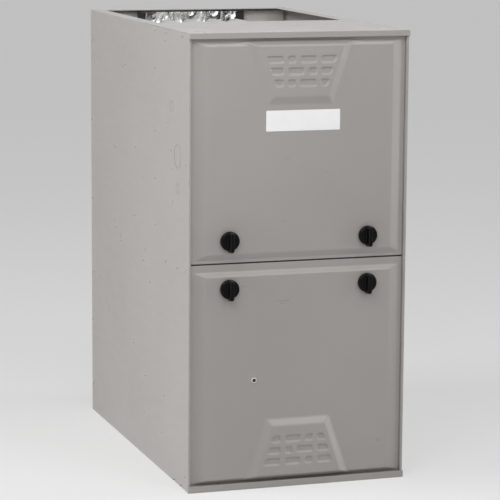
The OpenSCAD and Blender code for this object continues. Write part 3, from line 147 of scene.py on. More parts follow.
def pale_for_view(tree, lit, pale, share):
    """Mixes a lit shader with a pale glow that only the camera, gloss and glass see."""
    path = tree.nodes.new("ShaderNodeLightPath").outputs
    seen = maths(tree, "MAXIMUM", path["Is Camera Ray"], path["Is Glossy Ray"])
    seen = maths(tree, "MAXIMUM", seen, path["Is Transmission Ray"])
    mix = tree.nodes.new("ShaderNodeMixShader")
    join(tree, maths(tree, "MULTIPLY", seen, share), mix.inputs[0])
    join(tree, lit, mix.inputs[1])
    join(tree, pale, mix.inputs[2])
    return mix.outputs[0]


def make_surroundings():
    """Pale world and floor, with the fill light and the lamps."""
    world = bpy.data.worlds.new("studio")
    world.use_nodes = True
    bpy.context.scene.world = world
    tree = world.node_tree
    fill = tree.nodes["Background"]
    join(tree, FILL, fill.inputs["Color"])
    join(tree, FILL_STRENGTH, fill.inputs["Strength"])
    pale = tree.nodes.new("ShaderNodeBackground")
    join(tree, (1, 1, 1), pale.inputs["Color"])
    join(tree, PALE_STRENGTH, pale.inputs["Strength"])
    mixed = pale_for_view(tree, fill.outputs[0], pale.outputs[0], 1.0)
    join(tree, mixed, tree.nodes["World Output"].inputs["Surface"])

    mesh = bpy.data.meshes.new("floor")
    reach = FLOOR_REACH
    mesh.from_pydata([(-reach, -reach, 0), (reach, -reach, 0), (reach, reach, 0), (-reach, reach, 0)],
                     [], [(0, 1, 2, 3)])
    floor = bpy.data.objects.new("floor", mesh)
    bpy.context.scene.collection.objects.link(floor)
    material = bpy.data.materials.new("floor_paint")
    material.use_nodes = True
    tree = material.node_tree
    shader = tree.nodes["Principled BSDF"]
    join(tree, FLOOR_PAINT, shader.inputs["Base Color"])
    join(tree, FLOOR_ROUGHNESS, shader.inputs["Roughness"])
    join(tree, FLOOR_SPECULAR, shader.inputs["Specular IOR Level"])
    glow = tree.nodes.new("ShaderNodeEmission")
    join(tree, PALE_STRENGTH, glow.inputs["Strength"])
    mixed = pale_for_view(tree, shader.outputs[0], glow.outputs[0], FLOOR_PALE_SHARE)
    join(tree, mixed, tree.nodes["Material Output"].inputs["Surface"])
    mesh.materials.append(material)

    for name, lamp in LAMPS.items():
        area_lamp(name, *lamp)


# ---------- materials ----------

NOISE_RANGE = (0.3, 0.7)
EDGE_COSINES = (0.98, 0.8)  # between true and rounded normal, where an edge's mask begins and is full


class Finish:
    """A procedural material. Its methods add nodes and return the output to use next."""

    def __init__(self, name, colour, roughness, metallic=0.0):
        self.material = bpy.data.materials.new(name)
        self.material.use_nodes = True
        self.tree = self.material.node_tree
        self.shader = self.tree.nodes["Principled BSDF"]
        self.shader.inputs["Metallic"].default_value = metallic
        self.colour = colour
        self.roughness = roughness
        self.place = self.add("ShaderNodeTexCoord").outputs["Object"]
        self.normal = None

    def add(self, kind, **settings):
        node = self.tree.nodes.new(kind)
        for name, value in settings.items():
            setattr(node, name, value)
        return node

    def join(self, source, socket):
        join(self.tree, source, socket)

    def stretched(self, scale):
        node = self.add("ShaderNodeMapping")
        node.inputs["Scale"].default_value = scale
        self.join(self.place, node.inputs["Vector"])
        return node.outputs[0]

    def noise(self, scale, detail=3.0, stretch=None, roughness=0.5):
        node = self.add("ShaderNodeTexNoise")
        node.inputs["Scale"].default_value = scale
        node.inputs["Detail"].default_value = detail
        node.inputs["Roughness"].default_value = roughness
        self.join(self.stretched(stretch) if stretch else self.place, node.inputs["Vector"])
        return node.outputs["Fac"]

    def cells(self, scale, output="Color", feature="F1"):
        node = self.add("ShaderNodeTexVoronoi", feature=feature)
        node.inputs["Scale"].default_value = scale
        self.join(self.place, node.inputs["Vector"])
        return node.outputs[output]

    def bricks(self, offset, width, row, line):
        """Lines in a brick pattern, as a mask that is 1 on them."""
        node = self.add("ShaderNodeTexBrick", offset=offset)
        self.join(self.place, node.inputs["Vector"])
        node.inputs["Scale"].default_value = 1.0
        node.inputs["Brick Width"].default_value = width
        node.inputs["Row Height"].default_value = row
        node.inputs["Mortar Size"].default_value = line
        return node.outputs["Fac"]

    def span(self, value, low, high, to_low=0.0, to_high=1.0):
        node = self.add("ShaderNodeMapRange")
        self.join(value, node.inputs["Value"])
        node.inputs["From Min"].default_value = low
        node.inputs["From Max"].default_value = high
        node.inputs["To Min"].default_value = to_low
        node.inputs["To Max"].default_value = to_high
        return node.outputs["Result"]

    def spread(self, value, to_low=0.0, to_high=1.0):
        """Spreads a noise, which seldom leaves its middle range, between two values."""
        return self.span(value, *NOISE_RANGE, to_low, to_high)

    def math(self, operation, a, b):
        return maths(self.tree, operation, a, b)

    def mix(self, amount, a, b):
        node = self.add("ShaderNodeMix", data_type="RGBA")
        self.join(amount, node.inputs["Factor"])
        self.join(a, node.inputs["A"])
        self.join(b, node.inputs["B"])
        return node.outputs["Result"]

    def edges(self, radius):
        """Rounds the shading at edges, and returns a mask that is 1 on them."""
        soft = self.add("ShaderNodeBevel", samples=4)
        soft.inputs["Radius"].default_value = radius
        self.normal = soft.outputs[0]
        plain = self.add("ShaderNodeNewGeometry").outputs["Normal"]
        dot = self.add("ShaderNodeVectorMath", operation="DOT_PRODUCT")
        self.join(soft.outputs[0], dot.inputs[0])
        self.join(plain, dot.inputs[1])
        return self.span(dot.outputs["Value"], *EDGE_COSINES)

    def bump(self, height, distance, strength=1.0):
        node = self.add("ShaderNodeBump")
        node.inputs["Distance"].default_value = distance
        node.inputs["Strength"].default_value = strength
        self.join(height, node.inputs["Height"])
        if self.normal:
            self.join(self.normal, node.inputs["Normal"])
        self.normal = node.outputs[0]

    def done(self):
        self.join(self.colour, self.shader.inputs["Base Color"])
        self.join(self.roughness, self.shader.inputs["Roughness"])
        if self.normal:
            self.join(self.normal, self.shader.inputs["Normal"])
        return self.material


def shade(colour, factor):
    """A colour made darker or lighter by a factor."""
    return tuple(min(1.0, c * factor) for c in colour)


def enamel(name, colour, edge_radius=0.0005):
    """Baked enamel on steel: orange peel, faint blotches, handling marks and rubbed edges."""
    f = Finish(name, colour, 0.4)
    blotch = f.noise(3.2, 4.0)
    speck = f.noise(520, 2.0)
    edge = f.edges(edge_radius)
    tone = f.mix(f.spread(blotch), shade(colour, 0.965), shade(colour, 1.035))
    tone = f.mix(f.span(speck, 0.62, 0.8, 0.0, 0.12), tone, shade(colour, 1.25))
    rub = f.math("MULTIPLY", edge, f.span(f.noise(60, 4.0), 0.42, 0.75, 0.0, 0.6))
    f.colour = f.mix(rub, tone, shade(colour, 1.18))
    marks = f.noise(14, 5.0, stretch=(1.0, 1.0, 4.0), roughness=0.6)
    f.roughness = f.spread(marks, 0.27, 0.36)
    f.bump(f.noise(420, 2.0), 0.00006, 0.55)
    f.bump(f.noise(9, 3.0), 0.0006, 0.05)
    return f.done()


def zinc_coat(name, colour, spangle=85, roughness=(0.28, 0.5)):
    """Galvanised sheet: flat crystals of differing tone and gloss, with a fine grain."""
    f = Finish(name, colour, 0.4, 1.0)
    crystal = f.cells(spangle)
    split = f.add("ShaderNodeSeparateColor")
    f.join(crystal, split.inputs[0])
    tone, gloss = split.outputs[0], split.outputs[1]
    edge = f.edges(0.0005)
    body = f.mix(tone, shade(colour, 0.80), shade(colour, 1.08))
    dull = f.span(f.noise(7, 4.0), 0.35, 0.75, 0.0, 0.5)
    body = f.mix(dull, body, shade(colour, 0.72))
    f.colour = f.mix(f.math("MULTIPLY", edge, 0.5), body, shade(colour, 1.3))
    f.roughness = f.span(gloss, 0.0, 1.0, roughness[0], roughness[1])
    f.bump(tone, 0.00003, 0.5)
    f.bump(f.noise(900, 2.0), 0.00003, 0.35)
    return f.done()


def drawn_metal(name, colour, roughness, stretch=(400, 6, 400), stain=0.25, metallic=1.0):
    """Drawn, turned or brushed metal with a directional grain and light staining."""
    f = Finish(name, colour, roughness, metallic)
    grain = f.noise(1.0, 3.0, stretch=stretch)
    edge = f.edges(0.0004)
    patch = f.span(f.noise(18, 5.0), 0.4, 0.72, 0.0, stain)
    body = f.mix(patch, shade(colour, 1.0), shade(colour, 0.55))
    body = f.mix(f.spread(grain, 0.0, 0.25), body, shade(colour, 1.2))
    f.colour = f.mix(f.math("MULTIPLY", edge, 0.45), body, shade(colour, 1.45))
    f.roughness = f.spread(grain, roughness - 0.06, roughness + 0.1)
    f.bump(grain, 0.00004, 0.5)
    return f.done()


def cast_metal(name, colour, roughness=0.5):
    """Die cast body: fine pitting, parting bloom and brighter corners."""
    f = Finish(name, colour, roughness, 1.0)
    pits = f.noise(700, 3.0)
    edge = f.edges(0.0008)
    body = f.mix(f.spread(f.noise(40, 4.0)), shade(colour, 0.85), shade(colour, 1.05))
    f.colour = f.mix(f.math("MULTIPLY", edge, 0.6), body, shade(colour, 1.35))
    f.roughness = f.spread(pits, roughness - 0.08, roughness + 0.08)
    f.bump(pits, 0.00008, 0.6)
    return f.done()


def plastic(name, colour, roughness=0.35, grain=0.00005, wear=0.35, specular=0.5):
    """Moulded plastic: leathered grain, cloudy gloss and pale scuffs on the edges."""
    f = Finish(name, colour, roughness)
    f.shader.inputs["Specular IOR Level"].default_value = specular
    edge = f.edges(0.0006)
    cloud = f.noise(25, 4.0)
    body = f.mix(f.spread(cloud), shade(colour, 0.88), shade(colour, 1.12))
    scuff = f.math("MULTIPLY", edge, f.span(f.noise(90, 4.0), 0.45, 0.7, 0.0, wear))
    pale = tuple(min(1.0, c * 1.6 + 0.03) for c in colour)
    f.colour = f.mix(scuff, body, pale)
    f.roughness = f.spread(f.noise(60, 4.0), roughness - 0.06, roughness + 0.1)
    f.bump(f.cells(1400, "Distance"), grain, 0.5)
    return f.done()


def glazed(name, colour):
    """Baked gloss coat on a small plate: even colour, faint haze, slightly rolled edges."""
    f = Finish(name, colour, 0.2)
    edge = f.edges(0.0005)
    haze = f.noise(40, 4.0)
    body = f.mix(f.spread(haze), shade(colour, 0.985), shade(colour, 1.01))
    f.colour = f.mix(f.math("MULTIPLY", edge, 0.4), body, shade(colour, 0.86))
    f.roughness = f.spread(f.noise(90, 4.0), 0.14, 0.26)
    f.bump(f.noise(300, 2.0), 0.00002, 0.4)
    return f.done()


def rubber(name, colour):
    """Moulded rubber: matt, dusty in the hollows, with a faint bloom."""
    f = Finish(name, colour, 0.75)
    dust = f.span(f.noise(35, 5.0), 0.45, 0.8, 0.0, 0.5)
    f.edges(0.0008)
    f.colour = f.mix(dust, colour, tuple(c + 0.05 for c in colour))
    f.roughness = f.spread(f.noise(120, 3.0), 0.62, 0.85)
    f.bump(f.noise(600, 3.0), 0.00008, 0.5)
    return f.done()


def foil(name, colour):
    """Foil facing glued on glass wool: crinkles with painted shade in their creases, printed scrim and
    soft dents.
    """
    f = Finish(name, colour, 0.3, 1.0)
    scrim = f.bricks(offset=0.0, width=0.012, row=0.012, line=0.0006)
    crinkle = f.cells(55, "Distance", "DISTANCE_TO_EDGE")
    # painted shade: the colour darkens towards the creases between the crinkles
    f.colour = f.mix(f.span(crinkle, 0.0, 0.25), shade(colour, 0.78), shade(colour, 1.05))
    f.roughness = f.spread(f.noise(90, 4.0), 0.22, 0.42)
    f.bump(scrim, 0.0002, 0.4)
    f.bump(crinkle, 0.002, 0.45)
    f.bump(f.noise(45, 5.0), 0.002, 0.5)
    return f.done()


def crinkled_foil(name, colour):
    """Bare foil over modelled folds: fine wrinkles, rubbed dull in patches."""
    f = Finish(name, colour, 0.22, 1.0)
    rub = f.span(f.noise(70, 5.0), 0.4, 0.75, 0.0, 0.6)
    f.colour = f.mix(rub, colour, shade(colour, 0.6))
    f.roughness = f.spread(f.noise(140, 4.0), 0.14, 0.34)
    f.bump(f.noise(210, 4.0), 0.0006, 0.6)
    return f.done()


def ceramic(name, colour):
    """Bare sintered ceramic: chalky, with soot near the flame."""
    f = Finish(name, colour, 0.6)
    f.edges(0.0005)
    soot = f.span(f.noise(55, 5.0), 0.5, 0.8, 0.0, 0.5)
    f.colour = f.mix(soot, colour, shade(colour, 0.35))
    f.roughness = f.spread(f.noise(300, 3.0), 0.5, 0.75)
    f.bump(f.noise(1200, 3.0), 0.00005, 0.6)
    return f.done()


def circuit(name, colour):
    """Solder mask with copper tracks that show as darker and lighter lines under it."""
    f = Finish(name, colour, 0.28)
    tracks = f.bricks(offset=0.37, width=0.017, row=0.0045, line=0.0007)
    f.edges(0.0003)
    dusty = f.span(f.noise(40, 4.0), 0.4, 0.8, 0.0, 0.35)
    body = f.mix(tracks, shade(colour, 0.8), shade(colour, 1.9))
    f.colour = f.mix(dusty, body, (0.25, 0.27, 0.24))
    f.roughness = f.spread(f.noise(80, 3.0), 0.22, 0.4)
    f.bump(tracks, 0.00005, 0.6)
    return f.done()


def varnished_core(name, colour):
    """Stacked laminations under varnish: fine lines across the stack."""
    f = Finish(name, colour, 0.4, 0.4)
    lines = f.add("ShaderNodeTexWave", bands_direction="Y")
    f.join(f.place, lines.inputs["Vector"])
    lines.inputs["Scale"].default_value = 320
    lines.inputs["Distortion"].default_value = 0.3
    f.edges(0.0004)
    body = f.mix(lines.outputs["Fac"], shade(colour, 0.7), shade(colour, 1.3))
    f.colour = f.mix(f.span(f.noise(30, 4.0), 0.45, 0.75, 0.0, 0.5), body, (0.16, 0.09, 0.04))
    f.roughness = f.spread(f.noise(90, 3.0), 0.3, 0.5)
    f.bump(lines.outputs["Fac"], 0.0001, 0.6)
    return f.done()


def sight_lens(name, glass, rim, middle, radius):
    """Smoked glass in a bright ferrule: a dark middle inside a thin metal ring."""
    f = Finish(name, glass, 0.12)
    away = f.add("ShaderNodeVectorMath", operation="DISTANCE")
    flat = f.add("ShaderNodeVectorMath", operation="MULTIPLY")
    f.join(f.place, flat.inputs[0])
    flat.inputs[1].default_value = (1, 0, 1)
    f.join(flat.outputs[0], away.inputs[0])
    away.inputs[1].default_value = middle
    ring = f.span(away.outputs["Value"], radius * 0.55, radius * 0.68)
    haze = f.noise(160, 4.0)
    body = f.mix(f.span(haze, 0.4, 0.8, 0.0, 0.25), glass, tuple(c + 0.04 for c in glass))
    f.colour = f.mix(ring, body, rim)
    f.join(ring, f.shader.inputs["Metallic"])
    f.roughness = f.spread(haze, 0.12, 0.3)
    f.edges(0.0004)
    f.bump(f.noise(700, 2.0), 0.00002, 0.4)
    return f.done()


PAINT = (0.375, 0.352, 0.335)
ZINC = (0.66, 0.68, 0.70)
STEEL = (0.52, 0.52, 0.53)
SHAFT_STEEL = (0.62, 0.62, 0.63)
FOIL = (0.82, 0.83, 0.85)


def make_finishes():
    """A finish for every node, by the node's name."""
    low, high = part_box("sight_glass")
    sight_middle = ((low.x + high.x) / 2, 0, (low.z + high.z) / 2)
    sight_radius = (high.x - low.x) / 2
    finishes = {
        "left_side_panel right_side_panel back_panel base_rail top_plate":
            enamel("cabinet_enamel", PAINT, edge_radius=0.0016),
        "upper_door_panel lower_door_panel": enamel("door_enamel", PAINT),
        "divider_rail blower_deck vestibule_panel burner_box junction_box control_panel "
        "blower_housing motor_mount": zinc_coat("galvanised", ZINC),
        "blower_wheel":
            zinc_coat("wheel_zinc", shade(ZINC, 0.92), spangle=160, roughness=(0.35, 0.5)),
        "casing_insulation upper_door_insulation lower_door_insulation": foil("foil_face", FOIL),
        "casing_screws upper_left_latch upper_right_latch lower_left_latch lower_right_latch "
        "inducer_wheel": drawn_metal("zinc_plated", STEEL, 0.32, stretch=(120, 120, 120)),
        "blower_shaft":
            drawn_metal("ground_shaft", SHAFT_STEEL, 0.2, stretch=(6, 900, 900), stain=0.1),
        "inducer_shaft":
            drawn_metal("inducer_shaft", SHAFT_STEEL, 0.2, stretch=(900, 6, 900), stain=0.1),
        "heat_tubes":
            drawn_metal("aluminised_tube", (0.52, 0.51, 0.49), 0.36, stretch=(90, 30, 90), stain=0.3),
        "coupling_box":
            drawn_metal("stainless_sheet", (0.60, 0.59, 0.58), 0.3, stretch=(8, 300, 8), stain=0.2),
        "condensing_coil":
            drawn_metal("fin_aluminium", (0.80, 0.80, 0.81), 0.35, stretch=(200, 200, 40), stain=0.1),
        "collector_box inducer_housing":
            plastic("glass_filled_plastic", (0.03, 0.03, 0.032), roughness=0.5),
        "inducer_motor blower_motor":
            drawn_metal("motor_paint", (0.035, 0.035, 0.04), 0.45, stretch=(60, 60, 60), stain=0.2,
                        metallic=0.0),
        "vent_collar gas_grommet pressure_hose": rubber("black_rubber", (0.03, 0.03, 0.031)),
        "burner_rack":
            drawn_metal("burner_steel", (0.56, 0.53, 0.50), 0.38, stretch=(60, 60, 60), stain=0.5),
        "igniter": ceramic("white_ceramic", (0.74, 0.72, 0.66)),
        "flame_sensor": ceramic("rod_ceramic", (0.80, 0.78, 0.74)),
        "gas_manifold":
            plastic("pipe_paint", (0.06, 0.06, 0.065), roughness=0.4, grain=0.00004, wear=0.6),
        "gas_orifices":
            drawn_metal("brass", (0.72, 0.52, 0.22), 0.28, stretch=(300, 40, 300), stain=0.2),
        "gas_valve": cast_metal("die_cast_aluminium", (0.58, 0.58, 0.60)),
        "gas_valve_knob rollout_button": plastic("red_plastic", (0.52, 0.03, 0.022)),
        "rollout_switch limit_switch door_switch":
            plastic("black_plastic", (0.022, 0.022, 0.024), roughness=0.42),
        "pressure_switch": plastic("ivory_plastic", (0.72, 0.68, 0.55), roughness=0.4),
        "condensate_trap": plastic("grey_plastic", (0.58, 0.58, 0.56), roughness=0.38),
        "control_board": circuit("solder_mask", (0.015, 0.12, 0.05)),
        "transformer": varnished_core("laminations", (0.12, 0.12, 0.13)),
        "door_switch_plunger": plastic("white_plastic", (0.78, 0.78, 0.76), roughness=0.32),
        "badge_plate": glazed("badge_enamel", (0.97, 0.968, 0.965)),
        "run_capacitor":
            drawn_metal("capacitor_can", (0.70, 0.70, 0.72), 0.26, stretch=(300, 300, 10), stain=0.12),
        "sight_glass":
            sight_lens("sight_lens", (0.012, 0.012, 0.014), (0.75, 0.74, 0.72),
                       sight_middle, sight_radius),
        "upper_left_knob upper_right_knob lower_left_knob lower_right_knob":
            plastic("knob_plastic", (0.005, 0.0045, 0.005), roughness=0.14, grain=0.00002, wear=0.1,
                    specular=0.1),
    }
    by_node = {}
    for names, material in finishes.items():
        for name in names.split():
            by_node[name] = material
    return by_node


def dress_nodes(finish):
    """Gives every node of the frame its finish."""
    for name, node in nodes.items():
        node.data.materials.clear()
        node.data.materials.append(finish[name])


# ---------- meshes ----------

def add_piece(name, mesh, body, material, replaced=()):
    """Adds a finished mesh that rides on a body, takes a node's finish and replaces nodes."""
    mesh.materials.clear()
    mesh.materials.append(material)
    piece = bpy.data.objects.new(name, mesh)
    bpy.context.scene.collection.objects.link(piece)
    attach(piece, body)
    if replaced:
        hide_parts(*replaced)
    return piece


def mesh_of(bm, name):
    """The mesh of a bmesh, which is freed."""
    mesh = bpy.data.meshes.new(name)
    bm.to_mesh(mesh)
    bm.free()
    return mesh


def block(name, body, material, low, high):
    """A plain block between two corners."""
    bm = bmesh.new()
    bmesh.ops.create_cube(bm, size=1.0)
    size, middle = high - low, (low + high) / 2
    place = Matrix.Translation(middle) @ Matrix.Diagonal((*size, 1))
    bmesh.ops.transform(bm, matrix=place, verts=bm.verts)
    return add_piece(name, mesh_of(bm, name), body, material)


def thicken(piece, name, thickness):
    """Gives a piece made of one skin its thickness, behind the skin."""
    solid = piece.modifiers.new(name, "SOLIDIFY")
    solid.thickness = thickness
    solid.offset = -1


# ---------- doors ----------

def smooth_min(a, b, k):
    """The lesser of two heights, rounded over k where they cross."""
    h = np.clip(0.5 + 0.5 * (b - a) / k, 0, 1)
    return b + (a - b) * h - k * h * (1 - h)


def smooth_max(a, b, k):
    return -smooth_min(-a, -b, k)


# Door forms in millimetres, as on the frame's door panels
DOOR_FRONT = 5.0            # how far the trapezoid of the frame's panel stands before the lip plane
MARGIN_D = 7.0              # depth of the flat margin behind the field
SIDE_MARGIN, SIDE_RUN = 5.5, 23.0
TRAP_RAISE, TRAP_RUN = 7.5, 15.0
TRAP_WIDE, TRAP_NARROW, TRAP_H = 87.5, 54.5, 97.5
TRAP_INSET = 0.5            # the slope at the trapezoid's wide end stops short of the margin
POCKET_D, POCKET_H, POCKET_PITCH, POCKET_START = 3.0, 14.5, 22.5, 19.5
POCKET_ROWS = 3
POCKET_WEB, POCKET_EDGE = 8.0, 8.0
POCKET_JOINTS = (-32.0, 34.5)
POCKET_MIDDLE = (9.6, -7.6)
POCKET_WALL = 1.5           # steepness of a pocket's wall
FAR = 1000.0                # past both ends of a row of pockets
HOOK = 7.0                  # length of the edge that hooks in behind the lip or the base rail
TUCK, TUCK_START, TUCK_RUN = 2.5, 8.0, 6.0  # the upper door's hook edge comes forward under the lip
SHEET = 1.2                 # thickness of a door's sheet
BEND_R = 0.5                # outer radius of the bend into a return
BEND_STEPS, RETURN_STEPS = 6, 3
RETURN_STOP = 4.0           # the side returns stop this far from the hook edge
SIDE_REACH = 0.8            # how much nearer the returns come to the casing's hems

# How far the crossings of the pressed faces are rounded
SOFT_BEVEL, SOFT_CREST = 1.5, 1.1
SOFT_TRAP, SOFT_FOOT, SOFT_TUCK = 1.4, 1.6, 1.2
SOFT_POCKET_END, SOFT_POCKET_CORNER = 2.0, 5.0
SOFT_POCKET_RIM, SOFT_POCKET_FLOOR = 0.9, 1.2

# Spacing of a door's grid, and the width of its finer bands
STEP_EDGE, STEP_TRAP, STEP_FIELD, STEP_HOOK = 1.2, 1.15, 12, 2
SIDE_BAND, TRAP_BAND = 30, 108
TRAP_SPAN = TRAP_H + 34
PLAIN_BAND = {"upper": 26, "lower": 34}

DOOR = {
    "upper_door_panel": {
        "upper": True, "top_margin": 2.5, "top_run": 12.0,
        "low_margin": 6.0, "low_run": 12.0, "blend": 0.0},
    "lower_door_panel": {
        "upper": False, "top_margin": 14.5, "top_run": 8.5,
        "low_margin": 1.5, "low_run": 7.0, "blend": 3.0},
}
door_half_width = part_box("upper_door_panel")[1].x / MM


def edge_distance(x, h):
    """Distance inside the slanted side of the trapezoid face, h above its wide end."""
    slope = (TRAP_WIDE - TRAP_NARROW) / TRAP_H
    return (TRAP_WIDE - slope * h - np.abs(x)) / math.sqrt(1 + slope * slope)


def pocket_depth(x, h, phase):
    """Depth of the pockets of a trapezoid, with h measured from its wide end."""
    total = np.zeros_like(x)
    side = edge_distance(x, h) - POCKET_EDGE
    for row in range(POCKET_ROWS):
        h0 = POCKET_START + row * POCKET_PITCH
        across = smooth_min(h - h0, h0 + POCKET_H - h, SOFT_POCKET_END)
        middle = POCKET_MIDDLE[(row + phase) % 2]
        stops = [-FAR, POCKET_JOINTS[0], middle, POCKET_JOINTS[1], FAR]
        for left, right in zip(stops, stops[1:]):
            along = smooth_min(x - left - POCKET_WEB / 2, right - POCKET_WEB / 2 - x, SOFT_POCKET_END)
            inside = smooth_min(across, along, SOFT_POCKET_CORNER)
            inside = smooth_min(inside, side, SOFT_POCKET_CORNER)
            depth = smooth_max(inside * POCKET_WALL, 0.0, SOFT_POCKET_RIM)
            total = np.maximum(total, smooth_min(depth, POCKET_D, SOFT_POCKET_FLOOR))
    return total


def door_height(x, z, z0, z1, form):
    """Height of a door's face over its flat margin, in millimetres."""
    side = MARGIN_D / SIDE_RUN * (door_half_width - SIDE_MARGIN - np.abs(x))
    top = MARGIN_D / form["top_run"] * (z1 - form["top_margin"] - z)
    low = MARGIN_D / form["low_run"] * (z - z0 - form["low_margin"])
    field = smooth_min(smooth_min(top, low, SOFT_BEVEL), side, SOFT_BEVEL)
    field = smooth_min(field, MARGIN_D, SOFT_CREST)
    full = MARGIN_D + TRAP_RAISE
    if form["upper"]:
        edge = form["top_run"] + form["blend"]
        h = z1 - form["top_margin"] - edge - z
    else:
        edge = form["low_run"] + form["blend"]
        h = z - z0 - form["low_margin"] - edge
    slope = TRAP_RAISE / TRAP_RUN
    sides = full + slope * edge_distance(x, h)
    narrow = full + slope * (TRAP_H - h)
    wide = full + full / (edge - TRAP_INSET) * h
    trap = smooth_min(smooth_min(sides, narrow, SOFT_TRAP), wide, SOFT_FOOT)
    trap = smooth_min(trap, full, SOFT_TRAP)
    tuck = TUCK * np.clip((z - z1 + TUCK_START) / TUCK_RUN, 0, 1) if form["upper"] else 0.0
    face = smooth_max(smooth_max(field, trap, SOFT_TRAP), tuck, SOFT_TUCK)
    return face - pocket_depth(x, h, 1 if form["upper"] else 0)


def lines_between(stops):
    """Grid lines from a list of (position, spacing up to the next position)."""
    out = []
    for (a, step), (b, _) in zip(stops, stops[1:]):
        count = max(1, round((b - a) / step))
        out.extend(np.linspace(a, b, count, endpoint=False))
    out.append(stops[-1][0])
    return np.array(out)


def bend_points(length):
    """Places along a bend and the straight return behind it, as (out in the plane, behind)."""
    angles = np.linspace(0, math.pi / 2, BEND_STEPS + 1)[1:]
    arc = [(BEND_R * math.sin(a), BEND_R * (1 - math.cos(a))) for a in angles]
    straight = np.linspace(BEND_R, length, RETURN_STEPS + 1)[1:]
    return arc + [(BEND_R, s) for s in straight]


def door_skin(node, body, material):
    """The pressed sheet of a door with its rolled returns, as one folded grid."""
    form = DOOR[node]
    low, high = (Vector(c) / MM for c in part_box(node))
    margin_y = low.y + DOOR_FRONT + MARGIN_D
    z0, z1 = (low.z, high.z - HOOK) if form["upper"] else (low.z + HOOK, high.z)
    half = door_half_width
    flat = half + SIDE_REACH - BEND_R
    xs = lines_between([
        (-flat, STEP_EDGE), (SIDE_BAND - half, STEP_FIELD), (-TRAP_BAND, STEP_TRAP),
        (TRAP_BAND, STEP_FIELD), (half - SIDE_BAND, STEP_EDGE), (flat, None)])
    if form["upper"]:
        zs = lines_between([
            (z0 + BEND_R, STEP_EDGE), (z0 + PLAIN_BAND["upper"], STEP_FIELD),
            (z1 - TRAP_SPAN, STEP_TRAP), (z1, STEP_HOOK), (z1 + HOOK, None)])
    else:
        zs = lines_between([
            (z0 - HOOK, STEP_HOOK), (z0, STEP_TRAP), (z0 + TRAP_SPAN, STEP_FIELD),
            (z1 - PLAIN_BAND["lower"], STEP_EDGE), (z1 - BEND_R, None)])
    x, z = np.meshgrid(xs, zs)
    y = margin_y - door_height(x, z, z0, z1, form)
    wrap = bend_points(high.y - margin_y)
    rows, cols = x.shape
    points = {}
    verts = []
    faces = []

    def vert(key, place):
        if key not in points:
            points[key] = len(verts)
            verts.append(tuple(c * MM for c in place))

    def fold(lines, lead, other_way):
        """Faces of a return between neighbouring lines, from the lead point outwards."""
        for a, b in zip(lines, lines[1:]):
            for i in range(-1, len(wrap) - 1):
                quad = (lead(a, i), lead(a, i + 1), lead(b, i + 1), lead(b, i))
                faces.append(quad[::-1] if other_way else quad)

    for r in range(rows):
        for c in range(cols):
            vert((r, c), (x[r, c], y[r, c], z[r, c]))
    for r in range(rows - 1):
        for c in range(cols - 1):
            faces.append((points[r, c], points[r, c + 1], points[r + 1, c + 1], points[r + 1, c]))

    if form["upper"]:
        wrapped = [r for r in range(rows) if z[r, 0] <= z1 - RETURN_STOP]
    else:
        wrapped = [r for r in range(rows) if z[r, 0] >= z0 + RETURN_STOP]
    for side, column in ((-1, 0), (1, cols - 1)):
        for r in wrapped:
            for i, (out, behind) in enumerate(wrap):
                vert((r, column, i, side), (side * (flat + out), margin_y + behind, z[r, column]))

        def beside(row, i):
            return points[row, column] if i < 0 else points[row, column, i, side]
        fold(wrapped, beside, side < 0)

    end_row, sign = (0, -1) if form["upper"] else (rows - 1, 1)
    for c in range(cols):
        for i, (out, behind) in enumerate(wrap):
            vert((c, "end", i), (x[0, c], margin_y + behind, z[end_row, c] + sign * out))

    def beyond(column, i):
        return points[end_row, column] if i < 0 else points[column, "end", i]
    fold(list(range(cols)), beyond, sign > 0)

    mesh = bpy.data.meshes.new(node + "_skin")
    mesh.from_pydata(verts, [], faces)
    mesh.validate()
    mesh.polygons.foreach_set("use_smooth", [True] * len(mesh.polygons))
    thicken(add_piece(node + "_skin", mesh, body, material, [node]), "sheet", SHEET * MM)


# Painted shade: a black block that fills the gap between the doors with the gap's shadow.
GAP_SHADOW_IN = 1.5 * MM          # how far the black block of painted gap shadow stops from the door's sides
GAP_SHADOW_BACK, GAP_SHADOW_WIDE = 0.8 * MM, 8.2 * MM
GAP_SHADOW_GAP = 0.3 * MM


def gap_shadow_block(material):
    """Painted shade: a black block on the upper edge of the lower door that stands for the shadow in
    the gap between the doors.
    """
    low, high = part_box("lower_door_panel")
    front = low.y + (DOOR_FRONT + MARGIN_D) * MM + GAP_SHADOW_BACK
    reach = high.x - GAP_SHADOW_IN
    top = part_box("upper_door_panel")[0].z - GAP_SHADOW_GAP
    block("painted_gap_shadow", "lower_door", material,
          Vector((-reach, front, high.z - GAP_SHADOW_GAP)), Vector((reach, front + GAP_SHADOW_WIDE, top)))


# ---------- foil facing, painted shadow strips and painted light sheets in the supply opening ---

LINER_T = 8 * MM            # thickness of the casing's liner board
LINER_TOP = 0.8465          # height just above the liner board beside its tab
TAB_HALF = 117.6 * MM       # half width of the board's tab behind the tubes
FOIL_T = 0.3 * MM
FACING_LOW = 0.77           # height at which the loose facing is tucked in
FACING_GAP, FACING_DEPTH = 0.4 * MM, 7 * MM
FACING_STEP, FACING_FOLD = 2.2 * MM, 24 * MM
# Black strips of painted shadow at the ends of the facing, where the tab's edges lie in shade
SHADOW_STRIP_IN, SHADOW_STRIP_OUT = 14 * MM, 4 * MM         # on the facing, and past its end
SHADOW_STRIP_GAP, SHADOW_STRIP_DEPTH = 0.4 * MM, 1 * MM
SHADOW_STRIP_STEP, SHADOW_STRIP_FOLD = 3 * MM, 40 * MM
# Painted light: pale sheets in a lighter copy of the cabinet paint, over the back wall beside the tab,
# which lies in shade
LIT_SHEET_BACK, LIT_SHEET_FRONT = 0.2 * MM, 0.8 * MM      # before the liner board's back
LIT_SHEET_GAP = 1 * MM

